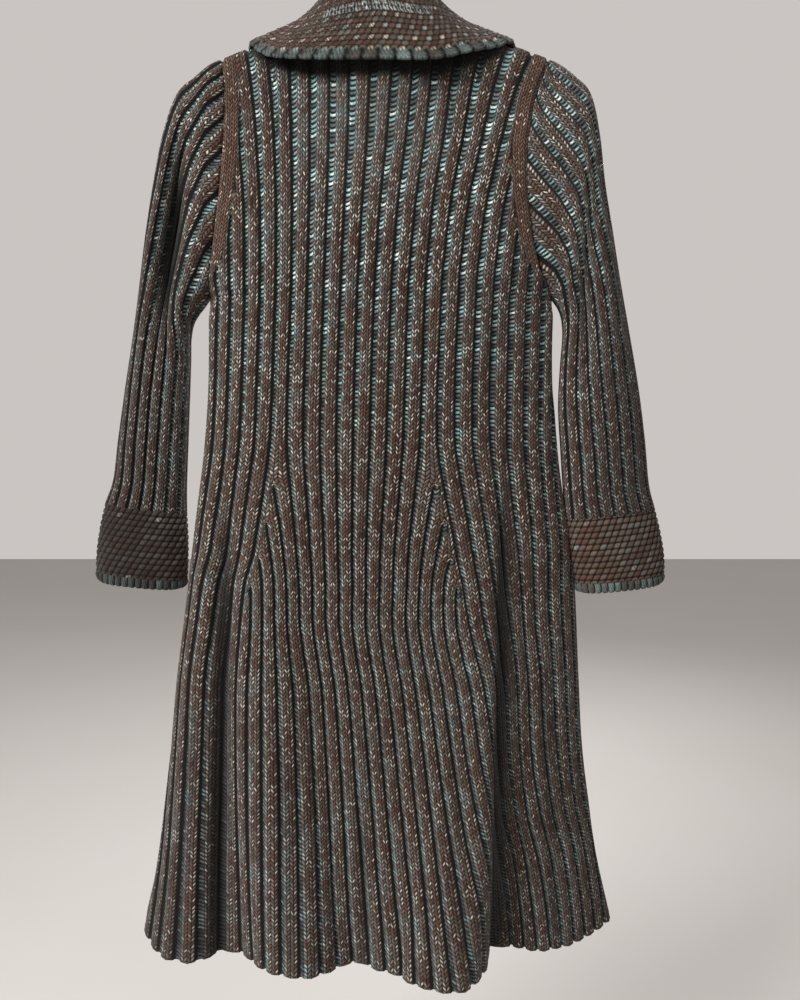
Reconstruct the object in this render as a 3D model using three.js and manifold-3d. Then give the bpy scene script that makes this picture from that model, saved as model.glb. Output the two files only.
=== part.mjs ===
import * as THREE from 'three';
import Module from 'manifold-3d';

// Long flared rib-knit cardigan on a hanger. Millimetres, +Z up, origin where the hook bears.
// The back faces -Y, the open front +Y, and +X is the right of the back view.

// Cloth
const WALL = 1.7;
const RIB_RISE = 2.6;
const SEAM_GAP = 0.3;
const ARMHOLE_GAP = 0.8;
const UNDERARM_EASE = { gap: 0.6, height: 14, fade: 34 };
const RIB_CREST = [0.32, 0.68];
const LEAST_RIB = 0.49;
const LAST_RIB = 0.3;

// Heights
const SHOULDER_TIP = -158;
const UNDERARM = -418;
const HEM = -1183;
const FOLDS = { start: -600, power: 1.3, gather: 412 };
const SHOULDER_PULL = 1.6;

// Shoulders and neck
const TIP = { left: -175, right: 190 };
const NECK = { half: 60, height: -110, backDrop: 18, frontDrop: 90, reach: 38 };
const NECK_BLEND = { half: 75, drop: 30, fade: 200 };
const RIDGE_RADIUS = 13;
const CHEST_DEPTH = 45;
const ARMHOLE_SPREAD = { depth: 15, height: 120 };
const UNDERARM_CURVE = 110;
const LENS = { power: 2.4, root: 0.62 };

// Front edges
const BAND = { outer: 45, inner: 4, rise: 1.8, shares: [0, 0.5, 1] };
const ARMHOLE_BAND = { width: 17, start: 50 };
const COLLAR_SEAT = { half: 92, fade: 12 };

// The trunk, seen from behind: side edges and how far back and front stand from the side seams.
const SECTIONS = [
  { z: -418, left: -195, right: 198, back: 45, front: 45 },
  { z: -520, left: -197, right: 200, back: 47, front: 46 },
  { z: -600, left: -204, right: 206, back: 50, front: 48 },
  { z: -650, left: -211, right: 213, back: 53, front: 50 },
  { z: -700, left: -218, right: 222, back: 55, front: 53 },
  { z: -770, left: -227, right: 229, back: 58, front: 56 },
  { z: -870, left: -241, right: 235, back: 62, front: 61 },
  { z: -990, left: -255, right: 246, back: 67, front: 66 },
  { z: -1090, left: -269, right: 261, back: 71, front: 70 },
  { z: -1183, left: -290, right: 281, back: 75, front: 74 },
];

// The armhole edges, seen from behind.
const ARMHOLES = [
  { z: -158, left: -175, right: 190 },
  { z: -184, left: -173, right: 181 },
  { z: -215, left: -172, right: 171 },
  { z: -262, left: -173, right: 164 },
  { z: -310, left: -178, right: 165 },
  { z: -355, left: -185, right: 171 },
  { z: -392, left: -190.5, right: 181 },
  { z: -407, left: -193, right: 190 },
  { z: -418, left: -195, right: 198 },
];

// The folds of the hem: how far out it hangs at each place across, and how much it is lifted.
const BACK_HEM = [
  { across: -290, out: 0, lift: 6 },
  { across: -264, out: 38, lift: 1 },
  { across: -240, out: 60, lift: 0 },
  { across: -205, out: 57, lift: 0 },
  { across: -165, out: 40, lift: 0 },
  { across: -125, out: 76, lift: 0 },
  { across: -85, out: 90, lift: 0 },
  { across: -58, out: 80, lift: 0 },
  { across: -32, out: 62, lift: 0 },
  { across: 4, out: 77, lift: 0 },
  { across: 28, out: 86, lift: 0 },
  { across: 44, out: 104, lift: 0 },
  { across: 72, out: 111, lift: 0 },
  { across: 100, out: 102, lift: 0 },
  { across: 124, out: 70, lift: 0 },
  { across: 138, out: 43, lift: 0 },
  { across: 158, out: 29, lift: 0 },
  { across: 186, out: 37, lift: 0 },
  { across: 207, out: 39, lift: 1 },
  { across: 232, out: 27, lift: 4 },
  { across: 258, out: 14, lift: 10 },
  { across: 281, out: 0, lift: 18 },
];
const FRONT_HEM = [
  { across: -290, out: 0, lift: 6 },
  { across: -262, out: 36, lift: 1 },
  { across: -222, out: 64, lift: 0 },
  { across: -180, out: 48, lift: 0 },
  { across: -128, out: 84, lift: 0 },
  { across: -82, out: 92, lift: 0 },
  { across: -45, out: 78, lift: 0 },
  { across: 0, out: 76, lift: 0 },
  { across: 45, out: 80, lift: 0 },
  { across: 88, out: 98, lift: 0 },
  { across: 132, out: 82, lift: 0 },
  { across: 172, out: 50, lift: 0 },
  { across: 214, out: 60, lift: 1 },
  { across: 252, out: 34, lift: 8 },
  { across: 281, out: 0, lift: 18 },
];

// Where the ribs of the back run: the two fan lines and the inner ribs beside them in mm across,
// and how many ribs lie outside the fan lines and inside each fan.
const BACK_RIBS = [
  { z: -158, fanLeft: -122, innerLeft: -97, innerRight: 92, fanRight: 120, left: 2.4, right: 2.6, fan: 1 },
  { z: -205, fanLeft: -117, innerLeft: -95, innerRight: 84, fanRight: 108, left: 2.7, right: 2.8, fan: 1 },
  { z: -260, fanLeft: -113, innerLeft: -94, innerRight: 76, fanRight: 97, left: 3.1, right: 3.5, fan: 1 },
  { z: -325, fanLeft: -111, innerLeft: -93, innerRight: 63, fanRight: 82, left: 4.0, right: 4.4, fan: 1 },
  { z: -390, fanLeft: -111, innerLeft: -94, innerRight: 55, fanRight: 73, left: 4.7, right: 5.9, fan: 1 },
  { z: -418, fanLeft: -112, innerLeft: -95, innerRight: 53, fanRight: 71, left: 5, right: 7, fan: 1 },
  { z: -575, fanLeft: -120, innerLeft: -101, innerRight: 47, fanRight: 66, left: 5, right: 7.3, fan: 1 },
  { z: -629, fanLeft: -127, innerLeft: -98, innerRight: 42, fanRight: 73, left: 5, right: 7.7, fan: 1.5 },
  { z: -672, fanLeft: -134, innerLeft: -94, innerRight: 37, fanRight: 81, left: 5, right: 8, fan: 2.5 },
  { z: -712, fanLeft: -141, innerLeft: -91, innerRight: 33, fanRight: 88, left: 5, right: 8.3, fan: 3.5 },
  { z: -742, fanLeft: -150, innerLeft: -89, innerRight: 32, fanRight: 94, left: 5, right: 8.6, fan: 4.5 },
  { z: -790, fanLeft: -156, innerLeft: -88, innerRight: 31, fanRight: 102, left: 5, right: 8.8, fan: 5 },
  { z: -870, fanLeft: -162, innerLeft: -78, innerRight: 43, fanRight: 120, left: 5, right: 8.8, fan: 5 },
  { z: -1183, fanLeft: -161, innerLeft: -67, innerRight: 82, fanRight: 157, left: 5.5, right: 8.8, fan: 5 },
];
const BACK_MIDDLE_RIBS = 8;

// The ribs of each front, in mm from the middle.
const FRONT_RIBS = [
  { z: -158, inner: 127, fan: 148, outer: 1.6, fanRibs: 1 },
  { z: -260, inner: 124, fan: 144, outer: 1.7, fanRibs: 1 },
  { z: -418, inner: 118, fan: 136, outer: 3.4, fanRibs: 1 },
  { z: -575, inner: 116, fan: 135, outer: 3.8, fanRibs: 1 },
  { z: -629, inner: 113, fan: 140, outer: 3.9, fanRibs: 1.5 },
  { z: -672, inner: 110, fan: 148, outer: 4, fanRibs: 2.5 },
  { z: -712, inner: 107, fan: 156, outer: 4, fanRibs: 3.5 },
  { z: -742, inner: 105, fan: 164, outer: 4.1, fanRibs: 4.5 },
  { z: -790, inner: 104, fan: 172, outer: 4.2, fanRibs: 5 },
  { z: -1183, inner: 112, fan: 205, outer: 4.8, fanRibs: 5 },
];
const FRONT_MIDDLE_RIBS = 4;
const FAN_RIBS = 5;
const EDGE_KEY = FAN_RIBS + 10;

// Rows of the panels, from the hem up. Above the underarm a row is named by its armhole height.
const LEVELS = [
  -1183, -1120, -1040, -950, -870, -790, -742, -712, -672, -629, -560, -485,
  -418, -407, -392, -355, -310, -262, -215, -184, -170, -162.5, -159.4, -158,
];

// Sleeve rings, from the armhole to the wrist: the outer and the inner end of each, its half depth,
// and a crease in the back of it: how deep, and at which share of the way round.
const SLEEVE_LEFT = [
  { outerX: -175, outerZ: -158, innerX: -195, innerZ: -418, depth: 28, crease: 0, at: 0.2 },
  { outerX: -188, outerZ: -164, innerX: -196.5, innerZ: -420, depth: 29, crease: 0, at: 0.2 },
  { outerX: -205, outerZ: -177, innerX: -199, innerZ: -422.5, depth: 30, crease: 0.1, at: 0.19 },
  { outerX: -224, outerZ: -194, innerX: -202, innerZ: -426, depth: 31, crease: 0.4, at: 0.18 },
  { outerX: -240, outerZ: -236, innerX: -206.5, innerZ: -431, depth: 31, crease: 0.75, at: 0.19 },
  { outerX: -252, outerZ: -290, innerX: -212, innerZ: -437, depth: 31, crease: 0.9, at: 0.2 },
  { outerX: -263, outerZ: -350, innerX: -218, innerZ: -447, depth: 30, crease: 0.8, at: 0.22 },
  { outerX: -272, outerZ: -410, innerX: -222, innerZ: -465, depth: 29, crease: 0.45, at: 0.25 },
  { outerX: -281, outerZ: -466, innerX: -223, innerZ: -492, depth: 28, crease: 0.15, at: 0.27 },
  { outerX: -291, outerZ: -522, innerX: -225, innerZ: -532, depth: 27, crease: 0, at: 0.28 },
  { outerX: -301, outerZ: -582, innerX: -228, innerZ: -588, depth: 26, crease: 0, at: 0.28 },
  { outerX: -308, outerZ: -628, innerX: -230.5, innerZ: -636, depth: 25, crease: 0, at: 0.28 },
  { outerX: -318, outerZ: -655, innerX: -231, innerZ: -667, depth: 26, crease: 0, at: 0.28 },
];
const SLEEVE_RIGHT = [
  { outerX: 190, outerZ: -158, innerX: 198, innerZ: -418, depth: 28, crease: 0, at: 0.2 },
  { outerX: 202, outerZ: -164, innerX: 199.5, innerZ: -420, depth: 29, crease: 0, at: 0.2 },
  { outerX: 218, outerZ: -176, innerX: 202, innerZ: -422.5, depth: 30, crease: 0, at: 0.2 },
  { outerX: 235, outerZ: -194, innerX: 205, innerZ: -426, depth: 31, crease: 0.05, at: 0.2 },
  { outerX: 245, outerZ: -236, innerX: 208, innerZ: -430, depth: 31, crease: 0.12, at: 0.22 },
  { outerX: 252, outerZ: -290, innerX: 211, innerZ: -436, depth: 31, crease: 0.25, at: 0.26 },
  { outerX: 262, outerZ: -345, innerX: 214, innerZ: -446, depth: 31, crease: 0.38, at: 0.3 },
  { outerX: 272, outerZ: -400, innerX: 215, innerZ: -465, depth: 30, crease: 0.4, at: 0.32 },
  { outerX: 283, outerZ: -455, innerX: 212.5, innerZ: -500, depth: 29, crease: 0.25, at: 0.33 },
  { outerX: 296, outerZ: -522, innerX: 211, innerZ: -545, depth: 28, crease: 0.08, at: 0.34 },
  { outerX: 305, outerZ: -582, innerX: 214.5, innerZ: -597, depth: 27, crease: 0, at: 0.34 },
  { outerX: 311, outerZ: -633, innerX: 218, innerZ: -643, depth: 26, crease: 0, at: 0.34 },
  { outerX: 319, outerZ: -663, innerX: 221, innerZ: -674, depth: 27, crease: 0, at: 0.34 },
];
const SLEEVE_RIBS = 16;
const SLEEVE_PLUMP = 2.6;
const CREASE_WIDTH = 0.075;

// Cuffs, from the sleeve down.
const CUFF_LEFT = [
  { outerX: -318, outerZ: -655, innerX: -231, innerZ: -667, depth: 26, crease: 0, at: 0.3 },
  { outerX: -325, outerZ: -682, innerX: -230, innerZ: -694, depth: 27, crease: 0, at: 0.3 },
  { outerX: -330, outerZ: -712, innerX: -230.5, innerZ: -724, depth: 27, crease: 0, at: 0.3 },
  { outerX: -332, outerZ: -745, innerX: -232.5, innerZ: -755, depth: 26, crease: 0, at: 0.3 },
];
const CUFF_RIGHT = [
  { outerX: 319, outerZ: -663, innerX: 221, innerZ: -674, depth: 27, crease: 0, at: 0.3 },
  { outerX: 326, outerZ: -690, innerX: 224, innerZ: -701, depth: 28, crease: 0, at: 0.3 },
  { outerX: 331, outerZ: -718, innerX: 228, innerZ: -729, depth: 28, crease: 0, at: 0.3 },
  { outerX: 332, outerZ: -748, innerX: 233, innerZ: -759, depth: 27, crease: 0, at: 0.3 },
];
const CUFF_RISE = 1.8;
const CUFF_POINTS = 24;

// Collar sections, round the neck from the left front end over the back to the right front end:
// the angle on the neckline, then the fold, the bend of the fall and its outer edge.
const COLLAR = [
  { angle: -86, fold: [-9, 44, -180], bend: [-34, 52, -206], edge: [-66, 56, -240] },
  { angle: -52, fold: [-36, 36, -116], bend: [-60, 50, -158], edge: [-108, 50, -206] },
  { angle: -22, fold: [-50, 20, -80], bend: [-66, 36, -126], edge: [-138, 30, -166] },
  { angle: 2, fold: [-53, -2, -68], bend: [-62, -2, -112], edge: [-147, -2, -141] },
  { angle: 26, fold: [-44, -26, -66], bend: [-55, -34, -114], edge: [-118, -34, -163] },
  { angle: 54, fold: [-26, -42, -65], bend: [-34, -51, -114], edge: [-66, -51, -173] },
  { angle: 90, fold: [0, -48, -64], bend: [0, -56, -113], edge: [-3, -54, -174] },
  { angle: 126, fold: [26, -42, -65], bend: [34, -51, -114], edge: [62, -52, -173] },
  { angle: 154, fold: [44, -26, -66], bend: [56, -33, -112], edge: [112, -34, -156] },
  { angle: 178, fold: [53, -2, -68], bend: [64, -2, -110], edge: [153, -2, -141] },
  { angle: 202, fold: [50, 20, -80], bend: [68, 36, -126], edge: [142, 30, -168] },
  { angle: 232, fold: [36, 36, -116], bend: [60, 50, -158], edge: [110, 50, -208] },
  { angle: 266, fold: [9, 44, -180], bend: [34, 52, -206], edge: [68, 56, -242] },
];
const COLLAR_WALL = 3.6;
const COLLAR_STEPS = 30;
const FALL_STEPS = 4;
const STAND_POINTS = 4;
const COLLAR_FOLD = { reach: 5, standShare: 0.22, fallShare: 0.2 };
const COLLAR_SEAM = { lift: 2.5, inset: 0.4 };
const COLLAR_CLEAR = RIB_RISE + COLLAR_WALL / 2 + 3.1;

// Hanger and hook
const HANGER = { thickness: 12, bevel: 3, reach: 8, drop: 3.8, nose: 6, heel: 8 };
const HANGER_ARM = { deep: 26, tipDeep: 15, arch: 22 };
const CROWN = { half: 18, height: -93 };
const HOOK = { wire: 4, bend: 22, seatDepth: 14, seatClear: 0.3, seatExtra: 20 };
const HOOK_TURN = { from: -60, to: 200, step: 20 };
const HOOK_STEM = [
  { x: 0, z: -64 },
  { x: 0.6, z: -56 },
  { x: 3.6, z: -47 },
];

// Fineness
const ROW_STEPS = 240;
const LOOP_STEPS = 480;
const ROW_NUDGE = 0.5;
const STATION_NUDGE = 0.02;
const TURN_NUDGE = 0.002;
const WELD = 1e4;

// Materials
const knit = () => new THREE.MeshStandardMaterial({ color: 0x4a4540, roughness: 0.95, metalness: 0 });
const basket = () => new THREE.MeshStandardMaterial({ color: 0x54423a, roughness: 0.95, metalness: 0 });
const plastic = () => new THREE.MeshStandardMaterial({ color: 0x232323, roughness: 0.5, metalness: 0 });
const steel = () => new THREE.MeshStandardMaterial({ color: 0xb9babb, roughness: 0.25, metalness: 1 });

const clamp = (value, low, high) => Math.min(Math.max(value, low), high);
const mix = (a, b, share) => a + (b - a) * share;

function smooth(share) {
  const t = clamp(share, 0, 1);
  return t * t * (3 - 2 * t);
}

// A smooth value of one column of a table against another.
function track(table, key, column) {
  const rows = [...table].sort((a, b) => a[key] - b[key]);
  const last = rows.length - 1;
  const slopes = rows.map((row, i) => {
    const before = rows[Math.max(i - 1, 0)];
    const after = rows[Math.min(i + 1, last)];
    return (after[column] - before[column]) / (after[key] - before[key]);
  });
  return (at) => {
    if (at <= rows[0][key]) return rows[0][column];
    if (at >= rows[last][key]) return rows[last][column];
    const i = rows.findIndex((row) => row[key] > at) - 1;
    const span = rows[i + 1][key] - rows[i][key];
    const t = (at - rows[i][key]) / span;
    const rise = rows[i + 1][column] - rows[i][column];
    const start = slopes[i] * span;
    const end = slopes[i + 1] * span;
    const bow = (3 * rise - 2 * start - end) * t * t + (start + end - 2 * rise) * t ** 3;
    return rows[i][column] + start * t + bow;
  };
}

// A straight-line value of one column of a table against another.
function straight(table, key, column) {
  const rows = [...table].sort((a, b) => a[key] - b[key]);
  return (at) => {
    const found = rows.findIndex((row) => row[key] > at);
    const next = found < 0 ? rows.length - 1 : Math.max(found, 1);
    const span = rows[next][key] - rows[next - 1][key];
    const share = clamp((at - rows[next - 1][key]) / span, 0, 1);
    return mix(rows[next - 1][column], rows[next][column], share);
  };
}

// One smooth line for each named column of a table.
const tracks = (table, key, names) =>
  Object.fromEntries(names.map((name) => [name, track(table, key, name)]));

const sideEdge = { left: track(SECTIONS, 'z', 'left'), right: track(SECTIONS, 'z', 'right') };
const armEdge = { left: straight(ARMHOLES, 'z', 'left'), right: straight(ARMHOLES, 'z', 'right') };

// What differs between the back and the front half of the trunk.
const FACES = {
  back: {
    out: -1,
    depth: track(SECTIONS, 'z', 'back'),
    hemOut: track(BACK_HEM, 'across', 'out'),
    hemLift: track(BACK_HEM, 'across', 'lift'),
  },
  front: {
    out: 1,
    depth: track(SECTIONS, 'z', 'front'),
    hemOut: track(FRONT_HEM, 'across', 'out'),
    hemLift: track(FRONT_HEM, 'across', 'lift'),
  },
};

const levelEdges = (level) => {
  const edge = level < UNDERARM ? sideEdge : armEdge;
  return { left: edge.left(level), right: edge.right(level) };
};

// How far the neckline lies below the neck point, from 1 at the neck point to 0 at the middle.
function neckDrop(face, share) {
  return face === 'back' ? NECK.backDrop * (1 - share * share) : NECK.frontDrop * (1 - share);
}

// The shoulder and neckline height above a place across.
function topLine(face, x) {
  const size = Math.abs(x);
  if (size < NECK.half) return NECK.height - neckDrop(face, size / NECK.half);
  const tip = Math.abs(x < 0 ? TIP.left : TIP.right);
  return mix(NECK.height, SHOULDER_TIP, (size - NECK.half) / (tip - NECK.half));
}

// The rounding of the cloth over the hanger at a drop below the shoulder line.
function ridge(drop) {
  const left = 1 - clamp(drop / RIDGE_RADIUS, 0, 1);
  return RIDGE_RADIUS * Math.sqrt(1 - left * left);
}

// How far the armhole edge of a row stands from the middle plane.
function armholeDepth(level) {
  const drop = SHOULDER_TIP - level;
  const spread = smooth(drop / ARMHOLE_SPREAD.height) * ARMHOLE_SPREAD.depth;
  const closed = 1 - clamp((level - UNDERARM) / UNDERARM_CURVE, 0, 1);
  return (ridge(drop) + spread) * Math.sqrt(1 - closed * closed);
}

// A point of the trunk below the underarm: flat at the side seams, swinging out in folds to the hem.
function skirtPoint(side, x, level, across, lens) {
  const fold = clamp((FOLDS.start - level) / (FOLDS.start - HEM), 0, 1) ** FOLDS.power;
  const gather = 1 + clamp((level - HEM) / FOLDS.gather, 0, 1);
  const share = Math.abs(across) ** gather;
  const place = share * (across < 0 ? sideEdge.left(HEM) : sideEdge.right(HEM));
  const depth = mix(side.depth(level) * lens, side.hemOut(place), fold);
  return new THREE.Vector3(x, side.out * depth, level + side.hemLift(place) * fold * fold);
}

// A point of the smooth trunk surface at a place across on a row.
function trunkPoint(face, x, level) {
  const side = FACES[face];
  const edges = levelEdges(level);
  const middle = (edges.left + edges.right) / 2;
  const half = (edges.right - edges.left) / 2;
  const across = clamp((x - middle) / half, -1, 1);
  const lens = (1 - Math.abs(across) ** LENS.power) ** LENS.root;
  if (level < UNDERARM) return skirtPoint(side, x, level, across, lens);
  const rise = (level - UNDERARM) / (SHOULDER_TIP - UNDERARM);
  const top = topLine(face, x);
  const z = level + (top - SHOULDER_TIP) * rise ** SHOULDER_PULL;
  const drop = top - z;
  const chest = ridge(drop) + (CHEST_DEPTH - RIDGE_RADIUS) * smooth(1 - rise);
  const round = Math.sqrt(Math.max(1 - (x / NECK.half) ** 2, 0));
  const wide = Math.exp(-((x / NECK_BLEND.half) ** 2));
  const spread = mix(round, wide, smooth(drop / NECK_BLEND.drop));
  const neck = NECK.reach * spread * Math.exp(-drop / NECK_BLEND.fade);
  return new THREE.Vector3(x, side.out * Math.hypot(mix(armholeDepth(level), chest, lens), neck), z);
}

// The walked length at each point of a line.
function walkedLengths(points) {
  const lengths = [0];
  for (let i = 1; i < points.length; i += 1) {
    lengths.push(lengths[i - 1] + points[i].distanceTo(points[i - 1]));
  }
  return lengths;
}

// The point of a line at a walked length.
function walkTo(points, lengths, walked) {
  const last = points.length - 1;
  const found = lengths.findIndex((value) => value > walked);
  const i = found < 0 ? last : Math.max(found, 1);
  const share = clamp((walked - lengths[i - 1]) / (lengths[i] - lengths[i - 1]), 0, 1);
  return points[i - 1].clone().lerp(points[i], share);
}

// One row of a panel as a line that can be walked by length.
function makeRow(face, level, from, to) {
  const points = [];
  for (let i = 0; i <= ROW_STEPS; i += 1) {
    const share = (1 - Math.cos((Math.PI * i) / ROW_STEPS)) / 2;
    points.push(trunkPoint(face, mix(from, to, share), level));
  }
  const lengths = walkedLengths(points);
  return {
    length: lengths[ROW_STEPS],
    lengthTo(x) {
      const i = clamp(points.findIndex((point) => point.x > x), 1, ROW_STEPS);
      const share = clamp((x - points[i - 1].x) / (points[i].x - points[i - 1].x), 0, 1);
      return mix(lengths[i - 1], lengths[i], share);
    },
    at: (walked) => walkTo(points, lengths, walked),
  };
}

// The troughs of one wing of ribs, from the inner rib line out to the panel's edge.
// key counts ribs in a way that stays the same from row to row.
function wingTroughs(start, fanEnd, edgeEnd, fan, outer) {
  const troughs = [{ key: 0, place: start }];
  const fanPitch = (fanEnd - start) / fan;
  for (let k = 1; k < FAN_RIBS; k += 1) {
    if (fan - k >= LEAST_RIB) troughs.push({ key: k, place: start + fanPitch * k });
  }
  const outerPitch = (edgeEnd - fanEnd) / outer;
  for (let k = 0; k < outer - LAST_RIB; k += 1) {
    troughs.push({ key: FAN_RIBS + k, place: fanEnd + outerPitch * k });
  }
  troughs.push({ key: EDGE_KEY, place: edgeEnd });
  return troughs;
}

// Points of a row from its troughs: each trough, and the two shoulders of the rib between a pair.
function ribPoints(troughs) {
  const list = [];
  troughs.forEach((trough, i) => {
    list.push({ key: trough.key, place: trough.place, rise: 0 });
    const next = troughs[i + 1];
    if (!next) return;
    for (const share of RIB_CREST) {
      const key = mix(trough.key, next.key, share);
      list.push({ key, place: mix(trough.place, next.place, share), rise: RIB_RISE });
    }
  });
  return list;
}

const BACK_LINE_NAMES = ['fanLeft', 'innerLeft', 'innerRight', 'fanRight', 'left', 'right', 'fan'];
const BACK_LINES = tracks(BACK_RIBS, 'z', BACK_LINE_NAMES);
const FRONT_LINES = tracks(FRONT_RIBS, 'z', ['inner', 'fan', 'outer', 'fanRibs']);

// The plain band along an armhole has no troughs.
function armholeBand(level) {
  return ARMHOLE_BAND.width * smooth((level - UNDERARM) / ARMHOLE_BAND.start);
}

// Leaves out the troughs that would run into the band beside a low or a high edge.
function dropNearEdges(troughs, band, low, high) {
  return troughs.filter(({ place }, i) => {
    const end = i === 0 || i === troughs.length - 1;
    const nearLow = low && place < troughs[0].place + band;
    const nearHigh = high && place > troughs[troughs.length - 1].place - band;
    return end || !(nearLow || nearHigh);
  });
}

// The troughs of the back across a row.
function backTroughs(row, level) {
  const value = (name) => BACK_LINES[name](level);
  const innerLeft = row.lengthTo(value('innerLeft'));
  const innerRight = row.lengthTo(value('innerRight'));
  const fanLeft = row.lengthTo(value('fanLeft'));
  const fanRight = row.lengthTo(value('fanRight'));
  const left = wingTroughs(innerLeft, fanLeft, 0, value('fan'), value('left'));
  const right = wingTroughs(innerRight, fanRight, row.length, value('fan'), value('right'));
  const middle = [];
  for (let k = 1; k < BACK_MIDDLE_RIBS; k += 1) {
    middle.push({ key: k, place: mix(innerLeft, innerRight, k / BACK_MIDDLE_RIBS) });
  }
  const troughs = [
    ...left.reverse().map(({ key, place }) => ({ key: -key, place })),
    ...middle,
    ...right.map(({ key, place }) => ({ key: key + BACK_MIDDLE_RIBS, place })),
  ];
  return dropNearEdges(troughs, armholeBand(level), true, true);
}

// The troughs of one front across a row, always from left to right.
function frontTroughs(side) {
  return (row, level) => {
    const value = (name) => FRONT_LINES[name](level);
    const bandEnd = side < 0 ? row.length : 0;
    const sideEnd = row.length - bandEnd;
    const inner = row.lengthTo(side * value('inner'));
    const fanLine = row.lengthTo(side * value('fan'));
    const wing = wingTroughs(inner, fanLine, sideEnd, value('fanRibs'), value('outer'));
    const middle = [];
    for (let k = 0; k < FRONT_MIDDLE_RIBS; k += 1) {
      const place = mix(bandEnd, inner, k / FRONT_MIDDLE_RIBS);
      middle.push({ key: k - FRONT_MIDDLE_RIBS, place });
    }
    const troughs = [...middle, ...wing];
    if (side > 0) return dropNearEdges(troughs, armholeBand(level), false, true);
    const turned = troughs.reverse().map(({ key, place }) => ({ key: -key, place }));
    return dropNearEdges(turned, armholeBand(level), true, false);
  };
}

// A closed wall between an outer and an inner sheet of rows. Rows may differ in their counts.
class Wall {
  constructor() {
    this.positions = [];
    this.faces = [];
  }

  add(points) {
    return points.map(({ key, point }) => {
      this.positions.push(point.x, point.y, point.z);
      return { key, index: this.positions.length / 3 - 1 };
    });
  }

  // Joins two lines of points by triangles, always stepping to the nearer next key.
  zip(lower, upper, turned) {
    let i = 0;
    let j = 0;
    while (i < lower.length - 1 || j < upper.length - 1) {
      const nextLower = i < lower.length - 1 ? lower[i + 1].key : Infinity;
      const nextUpper = j < upper.length - 1 ? upper[j + 1].key : Infinity;
      const stepLower = nextLower <= nextUpper;
      const third = stepLower ? lower[i + 1].index : upper[j + 1].index;
      const face = [lower[i].index, third, upper[j].index];
      if (turned) face.reverse();
      this.faces.push(...face);
      if (stepLower) i += 1;
      else j += 1;
    }
  }

  geometry() {
    const geometry = new THREE.BufferGeometry();
    geometry.setAttribute('position', new THREE.Float32BufferAttribute(this.positions, 3));
    geometry.setIndex(this.faces);
    return geometry;
  }
}

// An open sheet: rows of outer and inner points, closed along all four edges.
function sheetWall(outerRows, innerRows, turned) {
  const wall = new Wall();
  const outer = outerRows.map((row) => wall.add(row));
  const inner = innerRows.map((row) => wall.add(row));
  for (let i = 0; i < outer.length - 1; i += 1) {
    wall.zip(outer[i], outer[i + 1], turned);
    wall.zip(inner[i], inner[i + 1], !turned);
  }
  const column = (rows, last) =>
    rows.map((row, i) => ({ key: i, index: row[last ? row.length - 1 : 0].index }));
  const top = outer.length - 1;
  wall.zip(inner[0], outer[0], turned);
  wall.zip(outer[top], inner[top], turned);
  wall.zip(column(outer, false), column(inner, false), turned);
  wall.zip(column(inner, true), column(outer, true), turned);
  return wall.geometry();
}

// A tube: closed rings of outer and inner points, closed at both ends.
function tubeWall(outerRings, innerRings, turned) {
  const wall = new Wall();
  const close = (ring) => [...ring, { key: ring[0].key + 1, index: ring[0].index }];
  const outer = outerRings.map((ring) => close(wall.add(ring)));
  const inner = innerRings.map((ring) => close(wall.add(ring)));
  for (let i = 0; i < outer.length - 1; i += 1) {
    wall.zip(outer[i], outer[i + 1], turned);
    wall.zip(inner[i], inner[i + 1], !turned);
  }
  const end = outer.length - 1;
  wall.zip(inner[0], outer[0], turned);
  wall.zip(outer[end], inner[end], turned);
  return wall.geometry();
}

// Turns the outward direction at an edge of a panel into the plane of its seam.
function seamNormal(normal, { seam, level, onShoulder, x }) {
  if (onShoulder) normal.y = 0;
  if (seam === 'band') normal.x = 0;
  if (seam === 'side' && level < UNDERARM) normal.y = 0;
  if (seam === 'side' && level === UNDERARM) normal.set(Math.sign(x), 0, -1);
  if (seam === 'side' && level > UNDERARM) normal.x = 0;
  return normal.normalize();
}

// Puts an edge point of a panel on its seam, half the gap from the middle plane.
function toSeam(point, { seam, level, onShoulder, out }) {
  const joined = onShoulder || (seam === 'side' && level <= UNDERARM);
  if (joined || Math.abs(point.y) < SEAM_GAP / 2) point.y = (SEAM_GAP / 2) * out;
  if (seam === 'side' && level > UNDERARM) {
    const edge = point.x < 0 ? armEdge.left : armEdge.right;
    point.x = edge(Math.min(point.z, SHOULDER_TIP));
  }
  return point;
}

// Gives one row of a panel and a way to put points on it at a lift from the smooth surface.
function placeOnRow(face, level, edges, seams) {
  const { out } = FACES[face];
  const rowAt = (height) => makeRow(face, height, ...edges(height));
  const row = rowAt(level);
  const below = level - ROW_NUDGE > HEM ? rowAt(level - ROW_NUDGE) : row;
  const above = level + ROW_NUDGE < SHOULDER_TIP ? rowAt(level + ROW_NUDGE) : row;
  const put = ({ key, place }, lift) => {
    const share = clamp(place / row.length, 0, 1);
    const point = row.at(place);
    const along = row.at(place + ROW_NUDGE).sub(row.at(place - ROW_NUDGE));
    const up = above.at(share * above.length).sub(below.at(share * below.length));
    const edge = {
      seam: (share === 0 && seams.low) || (share === 1 && seams.high) || null,
      level,
      onShoulder: level === SHOULDER_TIP && Math.abs(point.x) >= NECK.half,
      x: point.x,
      out,
    };
    const normal = seamNormal(along.cross(up).multiplyScalar(-out).normalize(), edge);
    return { key, point: toSeam(point.addScaledVector(normal, lift), edge) };
  };
  return { row, put };
}

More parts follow.
